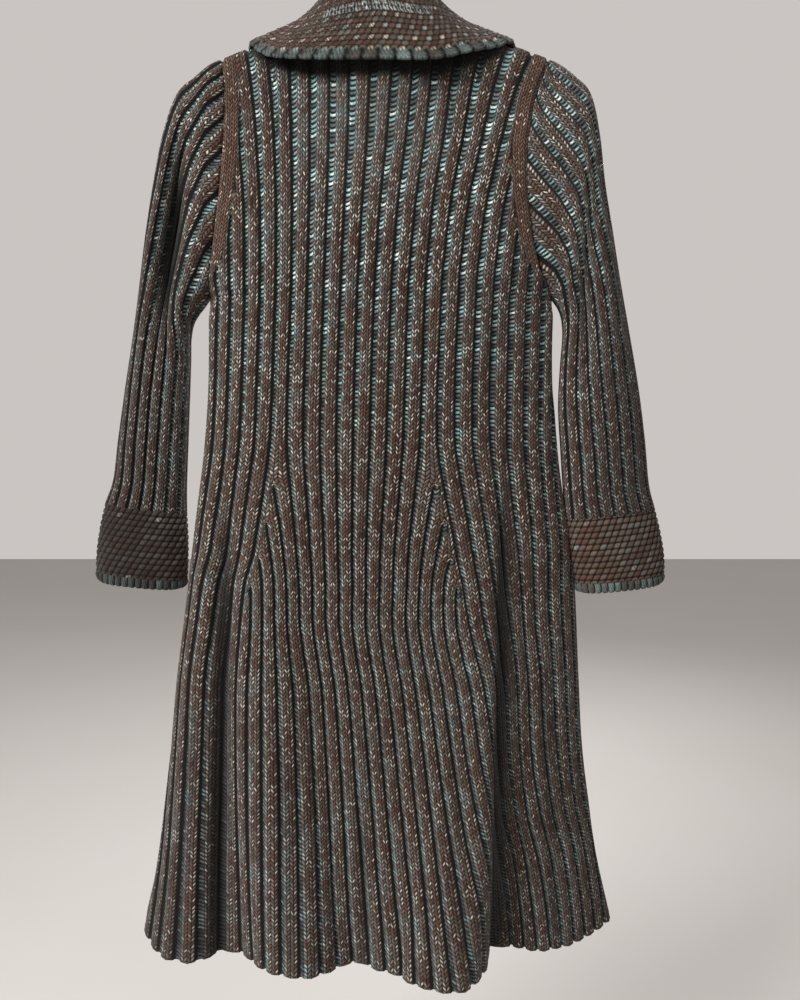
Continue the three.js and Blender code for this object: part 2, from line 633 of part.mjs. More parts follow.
// How much of the ribs' rise is left beside the neckline, where the collar joins, and at the underarm.
function ribFade(face, point) {
  const corner = point.x < 0 ? sideEdge.left(UNDERARM) : sideEdge.right(UNDERARM);
  const away = Math.hypot(point.x - corner, point.z - UNDERARM);
  const atUnderarm = smooth(away / UNDERARM_EASE.fade);
  if (Math.abs(point.x) >= COLLAR_SEAT.half) return atUnderarm;
  return smooth((topLine(face, point.x) - point.z) / COLLAR_SEAT.fade);
}

// A panel of the trunk with ribs raised on its outer side.
function makePanel({ face, edges, troughsOf, seams }) {
  const outerRows = [];
  const innerRows = [];
  for (const level of LEVELS) {
    const { row, put } = placeOnRow(face, level, edges, seams);
    const troughs = troughsOf(row, level);
    const outer = ribPoints(troughs).map((entry) => {
      const fade = ribFade(face, row.at(entry.place));
      return put(entry, entry.rise * fade);
    });
    outerRows.push(outer);
    innerRows.push(troughs.map((entry) => put(entry, -WALL)));
  }
  return sheetWall(outerRows, innerRows, FACES[face].out > 0);
}

function makeBack() {
  return makePanel({
    face: 'back',
    edges: (level) => [levelEdges(level).left, levelEdges(level).right],
    troughsOf: backTroughs,
    seams: { low: 'side', high: 'side' },
  });
}

function makeFront(side) {
  const bandEdge = side * BAND.outer;
  const leftEdges = (level) => [levelEdges(level).left, bandEdge];
  const rightEdges = (level) => [bandEdge, levelEdges(level).right];
  return makePanel({
    face: 'front',
    edges: side < 0 ? leftEdges : rightEdges,
    troughsOf: frontTroughs(side),
    seams: side < 0 ? { low: 'side', high: 'band' } : { low: 'band', high: 'side' },
  });
}

// A front band is plain: the same wall raised evenly.
function makeBand(side) {
  const near = side * BAND.inner;
  const far = side * (BAND.outer - SEAM_GAP);
  const edges = () => [Math.min(near, far), Math.max(near, far)];
  const seams = { low: 'band', high: 'band' };
  const outerRows = [];
  const innerRows = [];
  for (const level of LEVELS) {
    const { row, put } = placeOnRow('front', level, edges, seams);
    const points = BAND.shares.map((share) => ({ key: share, place: share * row.length }));
    const fade = (entry) => ribFade('front', row.at(entry.place));
    outerRows.push(points.map((entry) => put(entry, BAND.rise * fade(entry))));
    innerRows.push(points.map((entry) => put(entry, -WALL)));
  }
  return sheetWall(outerRows, innerRows, true);
}

// A loop across a sleeve between its outer and its inner end, flattened front to back.
function sleeveLoop(lines, station) {
  const value = (name) => lines[name](station);
  const outer = new THREE.Vector3(value('outerX'), 0, value('outerZ'));
  const inner = new THREE.Vector3(value('innerX'), 0, value('innerZ'));
  const middle = outer.clone().add(inner).multiplyScalar(0.5);
  const half = outer.clone().sub(inner).multiplyScalar(0.5);
  return (turn) => {
    const chord = Math.cos(turn * 2 * Math.PI);
    const face = turn <= 0.5 ? -1 : 1;
    const round = Math.sqrt(1 - Math.abs(chord) ** SLEEVE_PLUMP);
    const place = Math.acos(clamp(chord, -1, 1)) / (2 * Math.PI);
    const crease = value('crease') * Math.exp(-(((place - value('at')) / CREASE_WIDTH) ** 2));
    const depth = value('depth') * round * (face < 0 ? 1 - crease : 1);
    return middle.clone().addScaledVector(half, chord).setY(face * depth);
  };
}

// Where a sleeve starts beside the armhole edge at a height.
function sleeveStart(side, z) {
  const ease = UNDERARM_EASE.gap * smooth(1 - (z - UNDERARM) / UNDERARM_EASE.height);
  return armEdge[side < 0 ? 'left' : 'right'](z) + side * (ARMHOLE_GAP + ease);
}

// The armhole edge as a loop: top of the shoulder, down the back, underarm, up the front.
function armholeLoop(side) {
  const middle = (SHOULDER_TIP + UNDERARM) / 2;
  const half = (SHOULDER_TIP - UNDERARM) / 2;
  return (turn) => {
    const z = middle + half * Math.cos(turn * 2 * Math.PI);
    const face = turn <= 0.5 ? -1 : 1;
    return new THREE.Vector3(sleeveStart(side, z), face * armholeDepth(z), z);
  };
}

// A closed loop that can be walked by share of its length.
function walkLoop(loop) {
  const points = [];
  for (let i = 0; i <= LOOP_STEPS; i += 1) points.push(loop(i / LOOP_STEPS));
  const lengths = walkedLengths(points);
  return (share) => walkTo(points, lengths, (((share % 1) + 1) % 1) * lengths[LOOP_STEPS]);
}

const TUBE_COLUMNS = ['outerX', 'outerZ', 'innerX', 'innerZ', 'depth', 'crease', 'at'];

// The loops of a tube at any station, and the direction along it in the plane of the back view.
function tubeLoops(table, seamLoop) {
  const rows = table.map((row, station) => ({ ...row, station }));
  const lines = tracks(rows, 'station', TUBE_COLUMNS);
  const loopAt = (station) => {
    const own = walkLoop(sleeveLoop(lines, station));
    if (!seamLoop || station >= 1) return own;
    const seam = walkLoop(seamLoop);
    return (share) => seam(share).lerp(own(share), station);
  };
  const planeAt = (station) => {
    const x = lines.innerX(station) - lines.outerX(station);
    const z = lines.innerZ(station) - lines.outerZ(station);
    return new THREE.Vector3(-z, 0, x).normalize();
  };
  return { loopAt, planeAt, last: rows.length - 1 };
}

// Sleeve or cuff: loops through the stations of a table, with the seam loop first on a sleeve.
function makeTube(side, table, { seamLoop, ribs, crest, startGap }) {
  const { loopAt, planeAt, last } = tubeLoops(table, seamLoop);
  const outerRings = [];
  const innerRings = [];
  for (let station = 0; station <= last; station += 1) {
    const ring = loopAt(station);
    const before = loopAt(Math.max(station - STATION_NUDGE, 0));
    const after = loopAt(Math.min(station + STATION_NUDGE, last));
    const plane = planeAt(station);
    const seamed = seamLoop && station === 0;
    const flat = !seamed && (station === 0 || station === last);
    const shift = station === 0 ? startGap * -Math.sign(plane.z) : 0;
    const build = (share, lift) => {
      const around = ring(share + TURN_NUDGE).sub(ring(share - TURN_NUDGE));
      const along = after(share).sub(before(share));
      const normal = around.cross(along).multiplyScalar(side).normalize();
      if (seamed) normal.x = 0;
      if (flat) normal.addScaledVector(plane, -normal.dot(plane));
      const point = ring(share).addScaledVector(normal.normalize(), lift);
      if (seamed) point.x = sleeveStart(side, point.z);
      return { key: share, point: point.addScaledVector(plane, shift) };
    };
    const outer = [];
    const inner = [];
    for (let k = 0; k < ribs; k += 1) {
      inner.push(build(k / ribs, -WALL));
      for (const { at, lift } of crest) outer.push(build((k + at) / ribs, lift));
    }
    outerRings.push(outer);
    innerRings.push(inner);
  }
  return tubeWall(outerRings, innerRings, side < 0);
}

function makeSleeve(side) {
  return makeTube(side, side < 0 ? SLEEVE_LEFT : SLEEVE_RIGHT, {
    seamLoop: armholeLoop(side),
    ribs: SLEEVE_RIBS,
    crest: [{ at: 0, lift: 0 }, ...RIB_CREST.map((at) => ({ at, lift: RIB_RISE }))],
    startGap: 0,
  });
}

function makeCuff(side) {
  return makeTube(side, side < 0 ? CUFF_LEFT : CUFF_RIGHT, {
    ribs: CUFF_POINTS,
    crest: [{ at: 0, lift: CUFF_RISE }],
    startGap: SEAM_GAP,
  });
}

// A smooth line through the points of one column of the collar's table.
function collarLine(column) {
  const axes = [0, 1, 2].map((axis) => {
    const rows = COLLAR.map((row) => ({ angle: row.angle, value: row[column][axis] }));
    return track(rows, 'angle', 'value');
  });
  return (angle) => new THREE.Vector3(...axes.map((axis) => axis(angle)));
}

const FOLD_LINE = collarLine('fold');
const BEND_LINE = collarLine('bend');
const EDGE_LINE = collarLine('edge');

// Where the collar meets the neckline at an angle, just inside it.
function collarSeam(angle) {
  const turn = (angle * Math.PI) / 180;
  const face = Math.sin(turn) > 0 ? 'back' : 'front';
  const inset = 1 - (WALL + COLLAR_SEAM.inset) / NECK.half;
  return new THREE.Vector3(
    -Math.cos(turn) * NECK.half * inset,
    -Math.sin(turn) * NECK.reach * inset,
    NECK.height - neckDrop(face, Math.abs(Math.cos(turn))) + COLLAR_SEAM.lift,
  );
}

// The middle of the collar's wall at a section: up the stand, over the fold and down the fall.
function collarPath(angle) {
  const neck = collarSeam(angle);
  const fold = FOLD_LINE(angle);
  const bend = BEND_LINE(angle);
  const outward = fold.clone().setZ(0).normalize().multiplyScalar(COLLAR_FOLD.reach);
  const stand = fold.clone().sub(outward).setZ(mix(fold.z, neck.z, COLLAR_FOLD.standShare));
  const fallStart = fold.clone().add(outward).setZ(mix(fold.z, bend.z, COLLAR_FOLD.fallShare));
  const fall = new THREE.QuadraticBezierCurve3(fallStart, bend, EDGE_LINE(angle));
  return [neck, neck.clone().lerp(stand, 0.5), stand, fold, ...fall.getPoints(FALL_STEPS)];
}

// Keeps a point of the collar's fall clear of the shoulder under it.
function clearOfShoulder(point) {
  const face = point.y < 0 ? 'back' : 'front';
  if (Math.abs(point.x) < NECK.half) return point;
  const middle = topLine(face, point.x) - RIDGE_RADIUS;
  const needed = RIDGE_RADIUS + COLLAR_CLEAR;
  const height = Math.max(point.z - middle, 0);
  const away = Math.hypot(point.y, height);
  if (away >= needed) return point;
  point.y *= needed / away;
  if (height > 0) point.z = middle + (height * needed) / away;
  return point;
}

// The outward directions at the points of one collar section, from its neighbours.
function collarNormals(grid, i) {
  const path = grid[i];
  const next = grid[Math.min(i + 1, grid.length - 1)];
  const previous = grid[Math.max(i - 1, 0)];
  return path.map((point, j) => {
    const along = next[j].clone().sub(previous[j]);
    const up = path[Math.min(j + 1, path.length - 1)].clone().sub(path[Math.max(j - 1, 0)]);
    const normal = along.cross(up);
    if (j === 0) normal.z = 0;
    return normal.normalize();
  });
}

function makeCollar() {
  const first = COLLAR[0].angle;
  const last = COLLAR[COLLAR.length - 1].angle;
  const grid = [];
  for (let i = 0; i <= COLLAR_STEPS; i += 1) {
    const path = collarPath(mix(first, last, i / COLLAR_STEPS));
    grid.push(path.map((point, j) => (j < STAND_POINTS ? point : clearOfShoulder(point))));
  }
  const sheet = (lift) =>
    grid.map((path, i) => {
      const normals = collarNormals(grid, i);
      return path.map((point, j) => ({
        key: j,
        point: point.clone().addScaledVector(normals[j], lift),
      }));
    });
  return sheetWall(sheet(COLLAR_WALL / 2), sheet(-COLLAR_WALL / 2), true);
}

// A closed mesh as a solid for cutting.
function toSolid(wasm, geometry) {
  const source = geometry.index ? geometry.toNonIndexed() : geometry;
  const position = source.getAttribute('position');
  const seen = new Map();
  const vertices = [];
  const triangles = [];
  for (let i = 0; i < position.count; i += 1) {
    const place = [position.getX(i), position.getY(i), position.getZ(i)];
    const name = place.map((value) => Math.round(value * WELD)).join(' ');
    if (!seen.has(name)) {
      seen.set(name, vertices.length / 3);
      vertices.push(...place);
    }
    triangles.push(seen.get(name));
  }
  return new wasm.Manifold(
    new wasm.Mesh({
      numProp: 3,
      vertProperties: new Float32Array(vertices),
      triVerts: new Uint32Array(triangles),
    }),
  );
}

function fromSolid(solid) {
  const mesh = solid.getMesh();
  const geometry = new THREE.BufferGeometry();
  geometry.setAttribute('position', new THREE.BufferAttribute(mesh.vertProperties, 3));
  geometry.setIndex(new THREE.BufferAttribute(mesh.triVerts, 1));
  return geometry;
}

// The top line of the hanger at a place across, just under the shoulder seams.
function hangerLine(x) {
  const tip = x < 0 ? -TIP.left : TIP.right;
  const slope = (SHOULDER_TIP - NECK.height) / (tip - NECK.half);
  return NECK.height - HANGER.drop + slope * (Math.abs(x) - NECK.half);
}

// The outline of the hanger in the plane of its arms.
function hangerOutline() {
  const left = { tip: TIP.left + HANGER.reach, inward: 1 };
  const right = { tip: TIP.right - HANGER.reach, inward: -1 };
  const upper = (end) => [end.tip + end.inward * HANGER.nose, hangerLine(end.tip + end.inward * HANGER.nose)];
  const lower = (end) => {
    const x = end.tip + end.inward * HANGER.heel;
    return [x, hangerLine(x) - HANGER_ARM.tipDeep];
  };
  const outermost = (end) => [end.tip, hangerLine(end.tip) - HANGER_ARM.tipDeep / 2];
  const topCorner = (end) => [end.tip, hangerLine(end.tip) - 1];
  const lowCorner = (end) => [end.tip, hangerLine(end.tip) - HANGER_ARM.tipDeep];
  const outline = new THREE.Shape();
  outline.moveTo(...upper(left));
  outline.lineTo(-CROWN.half, hangerLine(-CROWN.half));
  outline.quadraticCurveTo(0, CROWN.height, CROWN.half, hangerLine(CROWN.half));
  outline.lineTo(...upper(right));
  outline.quadraticCurveTo(...topCorner(right), ...outermost(right));
  outline.quadraticCurveTo(...lowCorner(right), ...lower(right));
  outline.quadraticCurveTo(0, hangerLine(0) - HANGER_ARM.deep + HANGER_ARM.arch, ...lower(left));
  outline.quadraticCurveTo(...lowCorner(left), ...outermost(left));
  outline.quadraticCurveTo(...topCorner(left), ...upper(left));
  return outline;
}

function hangerTop() {
  return (hangerLine(CROWN.half) + CROWN.height) / 2;
}

// Contoured hanger with a blind hole in its crown for the hook's stem.
function makeHanger(wasm) {
  const geometry = new THREE.ExtrudeGeometry(hangerOutline(), {
    depth: HANGER.thickness - 2 * HANGER.bevel,
    bevelThickness: HANGER.bevel,
    bevelSize: HANGER.bevel,
    bevelOffset: -HANGER.bevel,
    bevelSegments: 2,
    curveSegments: 8,
  });
  geometry.translate(0, 0, -HANGER.thickness / 2 + HANGER.bevel);
  geometry.rotateX(Math.PI / 2);
  const radius = HOOK.wire / 2 + HOOK.seatClear;
  const seatLength = HOOK.seatDepth + HOOK.seatExtra;
  const seat = new THREE.CylinderGeometry(radius, radius, seatLength, 16);
  seat.rotateX(Math.PI / 2);
  seat.translate(0, 0, hangerTop() - HOOK.seatDepth + seatLength / 2);
  return fromSolid(toSolid(wasm, geometry).subtract(toSolid(wasm, seat)));
}

// Wire hook: a stem out of the hanger that bends round and bears on the underside of its top.
function makeHook() {
  const middle = -HOOK.bend + HOOK.wire / 2;
  const seatEnd = hangerTop() - HOOK.seatDepth + HOOK.seatClear;
  const route = [seatEnd, hangerTop()].map((z) => new THREE.Vector3(0, 0, z));
  for (const { x, z } of HOOK_STEM) route.push(new THREE.Vector3(x, 0, z));
  for (let degrees = HOOK_TURN.from; degrees <= HOOK_TURN.to; degrees += HOOK_TURN.step) {
    const turn = (degrees * Math.PI) / 180;
    const x = HOOK.bend * Math.cos(turn);
    route.push(new THREE.Vector3(x, 0, middle + HOOK.bend * Math.sin(turn)));
  }
  const section = new THREE.Shape();
  section.absarc(0, 0, HOOK.wire / 2, 0, Math.PI * 2);
  return new THREE.ExtrudeGeometry(section, {
    steps: 34,
    curveSegments: 3,
    bevelEnabled: false,
    extrudePath: new THREE.CatmullRomCurve3(route),
  });
}

const wasm = await Module();
wasm.setup();

const group = new THREE.Group();

function addPiece(name, geometry, material) {
  const mesh = new THREE.Mesh(geometry, material);
  mesh.name = name;
  group.add(mesh);
}

addPiece('back', makeBack(), knit());
addPiece('front_left', makeFront(-1), knit());
addPiece('front_right', makeFront(1), knit());
addPiece('front_band_left', makeBand(-1), basket());
addPiece('front_band_right', makeBand(1), basket());
addPiece('sleeve_left', makeSleeve(-1), knit());
addPiece('sleeve_right', makeSleeve(1), knit());
addPiece('cuff_left', makeCuff(-1), basket());
addPiece('cuff_right', makeCuff(1), basket());
addPiece('collar', makeCollar(), basket());
addPiece('hanger', makeHanger(wasm), plastic());
addPiece('hook', makeHook(), steel());

export default group;
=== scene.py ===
"""Long flared rib-knit cardigan on its hanger, seen from behind: its knitted pieces and their finishes."""
import math

import bmesh
import bpy
import numpy as np
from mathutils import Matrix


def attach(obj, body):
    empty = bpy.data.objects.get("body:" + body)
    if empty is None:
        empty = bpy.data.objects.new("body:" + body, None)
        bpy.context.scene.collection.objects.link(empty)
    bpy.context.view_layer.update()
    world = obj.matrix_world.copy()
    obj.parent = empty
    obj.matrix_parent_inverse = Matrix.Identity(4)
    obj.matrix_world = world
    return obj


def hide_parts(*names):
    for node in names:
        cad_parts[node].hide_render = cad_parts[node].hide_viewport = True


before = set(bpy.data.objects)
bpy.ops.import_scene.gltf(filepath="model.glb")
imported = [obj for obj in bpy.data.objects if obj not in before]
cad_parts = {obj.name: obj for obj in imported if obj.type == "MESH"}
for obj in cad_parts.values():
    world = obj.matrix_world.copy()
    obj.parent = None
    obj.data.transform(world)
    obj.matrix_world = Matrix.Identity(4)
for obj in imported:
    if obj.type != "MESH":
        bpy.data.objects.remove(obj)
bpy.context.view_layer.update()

MM = 0.001
SIDES = {-1: "left", 1: "right"}

# Cloth, in millimetres
WALL = 1.7
RIB_RISE = 3.6
CROWN_WIDTH = 11.6
SKIRT_CROWN = {"wider": 4.6, "from": -450.0, "over": 300.0}
RIB_WALL = 0.09
LEAST_FOOT = 0.02
CROWN_SHARE = (0.27, 0.37)
WIDEST_TROUGH = 12.5
FOOT_PLACE = 0.1
SHOULDER_PLACE = 0.2
RIB_PROFILE = (0, 0.12, 0.86, 1)
STITCH_ROW = 4.6
KNIT_COLUMN = 5.6
SEAM_GAP = 0.3
RIDGE_RADIUS = 13.0
CHEST_DEPTH = 45.0
SHOULDER_TIP = -158.0
UNDERARM = -418.0
HEM = -1183.0
HEM_STEP = {"at": 26.0, "width": 16.0, "end": 140.0, "fade": 60.0, "depth": 9.0, "top": -1040.0}
FOLD_START = -600.0
FOLD_POWER = 1.3
FOLD_GATHER = 412.0
SHOULDER_PULL = 1.6
TIP_LEFT = -175.0
TIP_RIGHT = 190.0
NECK_HALF = 60.0
NECK_HEIGHT = -110.0
NECK_DROP = {"back": 18.0, "front": 90.0}
NECK_REACH = 38.0
NECK_BLEND = {"half": 75.0, "drop": 30.0, "fade": 200.0}
ARMHOLE_SPREAD = {"depth": 15.0, "height": 120.0}
UNDERARM_CURVE = 110.0
ARMHOLE_BAND = {"width": 17.0, "over": 50.0, "beyond": 3.0, "fade": 5.0}
ARMHOLE_LAP = {"across": 1.2, "depth": 1.0}
EDGE_FADE = 5.0
LENS_POWER = 2.4
LENS_ROOT = 0.62
BAND_OUTER = 45.0
BAND_INNER = 4.0
FAN_RIBS = 5
FAN_CROWDED = 0.25
OUTER_RIBS = {"least": 0.6, "crowded": 0.3, "kept": 0.2, "past_band": 2.0}
FAN_START = {"after": 0.35, "over": 0.3}
BACK_MIDDLE_RIBS = 8
FRONT_MIDDLE_RIBS = 4
SLEEVE_RIBS = 16

# How finely the pieces are measured and meshed
ROW_POINTS = 401
LOOP_POINTS = 481
PANEL_ROWS = 226
SLEEVE_ROWS = 165
CUFF_MESH = {"rows": 72, "columns": 205}
BAND_MESH = {"rows": 361, "columns": 25}
COLLAR_MESH = {"rows": 101, "columns": 361}
COLLAR_POINTS = {"stand": 14, "fold": 16, "fall": 60}


def table(names, text):
    """Columns of numbers by name."""
    rows = [[float(word) for word in line.split()] for line in text.strip().splitlines()]
    return dict(zip(names.split(), np.array(rows).T))


SECTIONS = table("z left right back front", """
    -1183 -290 281 75 74
    -1090 -269 261 71 70
    -990 -255 246 67 66
    -870 -241 235 62 61
    -770 -227 229 58 56
    -700 -218 222 55 53
    -650 -211 213 53 50
    -600 -204 206 50 48
    -520 -197 200 47 46
    -418 -195 198 45 45
""")
ARMHOLES = table("z left right", """
    -418 -195 198
    -407 -193 190
    -392 -190.5 181
    -355 -185 171
    -310 -178 165
    -262 -173 164
    -215 -172 171
    -184 -173 181
    -158 -175 190
""")
HEMS = {
    "back": table("across out lift", """
    -290 0 6
    -264 38 1
    -240 60 0
    -205 57 0
    -165 40 0
    -125 76 0
    -85 90 0
    -58 80 0
    -32 62 0
    4 74 0
    28 84 0
    44 92 0
    72 104 0
    100 102 0
    124 70 0
    138 43 0
    158 29 0
    186 37 0
    207 39 1
    232 27 4
    258 14 10
    281 0 18
    """),
    "front": table("across out lift", """
    -290 0 6
    -262 36 1
    -222 64 0
    -180 48 0
    -128 84 0
    -82 92 0
    -45 78 0
    0 76 0
    45 80 0
    88 98 0
    132 82 0
    172 50 0
    214 60 1
    252 34 8
    281 0 18
    """),
}
BACK_RIBS = table("z fan_left inner_left inner_right fan_right left_pitch right_pitch fan", """
    -1183 -161 -67 82 157 27 15.6 5
    -870 -162 -78 43 120 20.8 16.2 5
    -790 -156 -88 31 102 19 17.1 5
    -742 -150 -89 32 94 18.6 17.6 4.5
    -712 -141 -91 33 88 18.8 18.4 3.5
    -672 -134 -94 37 81 18.9 18.9 2.5
    -629 -127 -98 42 73 18.8 19.5 1.5
    -575 -120 -101 47 66 18.6 20.1 1
    -418 -112 -95 53 71 18.2 19.7 1
    -390 -111 -94 55 73 18 19.6 1
    -325 -111 -93 63 82 18 19.8 1
    -260 -113 -94 76 97 19.7 21 1
    -205 -117 -95 84 108 21.4 24.5 1
    -158 -122 -97 92 120 23.9 28.7 1
""")
FRONT_RIBS = table("z inner fan_line pitch fan", """
    -1183 112 205 21.2 5
    -790 104 172 18.4 5
    -742 105 164 19.3 4.5
    -712 107 156 20.2 3.5
    -672 110 148 20.6 2.5
    -629 113 140 20.8 1.5
    -575 116 135 20.8 1
    -418 118 136 20.6 1
    -260 124 144 20.4 1
    -158 127 148 24 1
""")
TUBE_NAMES = "outer_x outer_z inner_x inner_z depth crease at"
SLEEVES = {
    "left": table(TUBE_NAMES, """
    -175 -158 -195 -418 28 0 0.2
    -188 -164 -196.5 -420 29 0 0.2
    -205 -177 -199 -422.5 30 0.1 0.21
    -224 -194 -202 -426 31 0.45 0.21
    -240 -236 -206.5 -431 31 0.85 0.225
    -252 -290 -212 -437 31 0.95 0.235
    -263 -350 -218 -447 30 0.9 0.245
    -272 -410 -222 -465 29 0.5 0.26
    -281 -466 -223 -492 28 0.15 0.27
    -291 -522 -225 -532 27 0 0.28
    -301 -582 -228 -588 26 0 0.28
    -308 -628 -230.5 -636 25 0 0.28
    -318 -655 -231 -667 26 0 0.28
    """),
    "right": table(TUBE_NAMES, """
    190 -158 198 -418 28 0 0.2
    202 -164 199.5 -420 29 0 0.2
    218 -176 202 -422.5 30 0 0.2
    235 -194 205 -426 31 0.05 0.2
    245 -236 208 -430 31 0.12 0.22
    252 -290 211 -436 31 0.25 0.26
    262 -345 214 -446 31 0.38 0.3
    272 -400 215 -465 30 0.4 0.32
    283 -455 212.5 -500 29 0.25 0.33
    296 -522 211 -545 28 0.08 0.34
    305 -582 214.5 -597 27 0 0.34
    311 -633 218 -643 26 0 0.34
    319 -663 221 -674 27 0 0.34
    """),
}
CUFFS = {
    "left": table(TUBE_NAMES, """
    -318 -655 -231 -667 26 0 0.3
    -325 -682 -230 -694 27 0 0.3
    -330 -712 -230.5 -724 27 0 0.3
    -332 -745 -232.5 -755 26 0 0.3
    """),
    "right": table(TUBE_NAMES, """
    319 -663 221 -674 27 0 0.3
    326 -690 224 -701 28 0 0.3
    331 -718 228 -729 28 0 0.3
    332 -748 233 -759 27 0 0.3
    """),
}
COLLAR = table("angle fold_x fold_y fold_z bend_x bend_y bend_z edge_x edge_y edge_z", """
    -86 -9 44 -180 -34 52 -206 -66 56 -240
    -52 -36 36 -116 -60 50 -158 -108 50 -206
    -22 -50 20 -80 -66 36 -126 -138 30 -166
    2 -53 -2 -68 -62 -2 -112 -147 -2 -141
    26 -44 -26 -66 -55 -34 -114 -118 -34 -163
    54 -26 -42 -65 -34 -51 -114 -66 -51 -173
    90 0 -48 -64 0 -56 -113 -3 -54 -174
    126 26 -42 -65 34 -51 -114 62 -52 -173
    154 44 -26 -66 56 -33 -112 112 -34 -156
    178 53 -2 -68 64 -2 -110 153 -2 -141
    202 50 20 -80 68 36 -126 142 30 -168
    232 36 36 -116 60 50 -158 110 50 -208
    266 9 44 -180 34 52 -206 68 56 -242
""")
COLLAR_WALL = 3.6
COLLAR_ROLL = {"half": 5.0, "stand": 0.22, "start": 0.2, "round": 0.8, "rise": 2.0}
COLLAR_FOOT = {"inset": 0.4, "lift": 2.5}
COLLAR_CLEARANCE = 5.7
FALL_ROW = 42
MEASURED_ROW = 70

# Relief, in millimetres, and how it runs out
CALM = {"left": -100.0, "right": 92.0, "side": 40.0, "foot": -360.0, "height": 130.0, "loss": 0.45}
SCALLOP = {"depth": 1.6, "height": 12.0, "from": 0.13, "over": 0.2}
COLLAR_SEAT = {"half": 92.0, "fade": 12.0}
UNDERARM_FADE = 24.0
SLEEVE_FADE = 6.0
FAR = 999.0
CAP_CROWDING = 0.9
CAP_SHARES = {"left": [0, 0.28, 0.5, 0.68, 0.8, 0.9, 0.96, 1], "right": [0, 0.72, 0.84, 0.92, 0.97, 1]}
CUFF_RELIEF = {"base": 1.2, "rise": 2.5}
BAND_RELIEF = {"base": 0.8, "rise": 1.3}
COLLAR_RELIEF = {"rise": 1.5, "loops_down": 0.4}
KNOB = 6.0
BUMP_POWER = 3
BASKET_ROW = 5.9
BASKET_LEAN = 0.22
CUFF_KNOB = 7.8
CUFF_ROW = 7.0
CUFF_LEAN = 0.5
EDGE_ROW = 10.5
NECK_ROW = 5.05
LOOP_RISE = 3.0
LOOP_DROP = 1.8
LOOP_POWER = 2.5
CUFF_CORNER = 7.0
CORNER_POWER = 6
SLEEVE_PLUMP = 2.6
CREASE_WIDTH = 0.075
CREASE_ENDS = {"top_share": 0.35, "foot": 60.0}
TRUNK_CREASES = {
    "back": table("x_low x_high z_low z_high depth width", """
    -190 -174 -1183 -560 8 13
    137 143 -1183 -540 10 11
    -101 -106 -1150 -880 4 12
    -20 -16 -1183 -960 5 10
    92 84 -1120 -840 4 13
    206 186 -1183 -720 5 12
    -238 -205 -1183 -820 5 11
    -60 -96 -560 -440 2 14
    118 148 -520 -400 3 12
    """),
    "front": table("x_low x_high z_low z_high depth width", """
    -186 -164 -1183 -640 9 10
    -92 -88 -1183 -820 5 12
    104 96 -1183 -700 7 11
    196 178 -1183 -600 8 10
    150 140 -1120 -860 4 13
    -236 -200 -1150 -840 4 12
    """),
}

# Painted shade: millimetres of crease that turn the cloth dark, and shares of the light
CREASE_SHADE = {"back": 10.5, "front": 22.0}
SLEEVE_SHADE = {"narrower": 1.05, "stations": 3.0}
COLLAR_SHADE = {"height": 19.0, "side": 8.0, "strength": 0.95}
SLEEVE_SPAN = (0.2, 0.3)
LEFT_LIGHT = 0.62
RIGHT_LIGHT = 0.5
CUFF_SHADE = 0.66

# Where the stitches change, in metres out from the middle or up
CUFF_SPAN = (0.19, 0.2)
# The next span is where the painted shade on the left cuff begins
LEFT_CUFF_SHADE_SPAN = (-0.24, -0.22)
NECK_SPAN = (0.056, 0.06)
SKIRT_SPAN = (-0.75, -0.35)


# ---- Surfaces, in millimetres ----

def smooth(share):
    t = np.clip(share, 0, 1)
    return t * t * (3 - 2 * t)


def mix(a, b, share):
    return a + (b - a) * share


def track(columns, key, name):
    """A smooth line through one column of a table against another."""
    order = np.argsort(columns[key])
    at, value = columns[key][order], columns[name][order]
    low = np.maximum(np.arange(len(at)) - 1, 0)
    high = np.minimum(np.arange(len(at)) + 1, len(at) - 1)
    slope = (value[high] - value[low]) / (at[high] - at[low])

    def line(x):
        x = np.clip(np.asarray(x, float), at[0], at[-1])
        i = np.clip(np.searchsorted(at, x, side="right") - 1, 0, len(at) - 2)
        span = at[i + 1] - at[i]
        t = (x - at[i]) / span
        rise = value[i + 1] - value[i]
        start, end = slope[i] * span, slope[i + 1] * span
        return value[i] + start * t + (3 * rise - 2 * start - end) * t * t + (start + end - 2 * rise) * t ** 3

    return line


def lines_of(columns, key):
    return {name: track(columns, key, name) for name in columns if name != key}


SECTION_LINES = lines_of(SECTIONS, "z")
HEM_LINES = {face: lines_of(columns, "across") for face, columns in HEMS.items()}
BACK_LINES = lines_of(BACK_RIBS, "z")
FRONT_LINES = lines_of(FRONT_RIBS, "z")
OUT = {"back": -1.0, "front": 1.0}


def side_edges(level):
    """Left and right end of a row of the trunk."""
    if level < UNDERARM:
        return float(SECTION_LINES["left"](level)), float(SECTION_LINES["right"](level))
    return tuple(float(np.interp(level, ARMHOLES["z"], ARMHOLES[side])) for side in ("left", "right"))


def top_line(face, x):
    """Height of the shoulder and neckline above a place across."""
    size = np.abs(x)
    share = np.clip(size / NECK_HALF, 0, 1)
    lost = 1 - share ** 2 if face == "back" else 1 - share
    tip = np.where(x < 0, -TIP_LEFT, TIP_RIGHT)
    shoulder = mix(NECK_HEIGHT, SHOULDER_TIP, (size - NECK_HALF) / (tip - NECK_HALF))
    return np.where(size < NECK_HALF, NECK_HEIGHT - NECK_DROP[face] * lost, shoulder)


def ridge(drop):
    """Rounding of the cloth over the hanger."""
    left = 1 - np.clip(drop / RIDGE_RADIUS, 0, 1)
    return RIDGE_RADIUS * np.sqrt(1 - left * left)


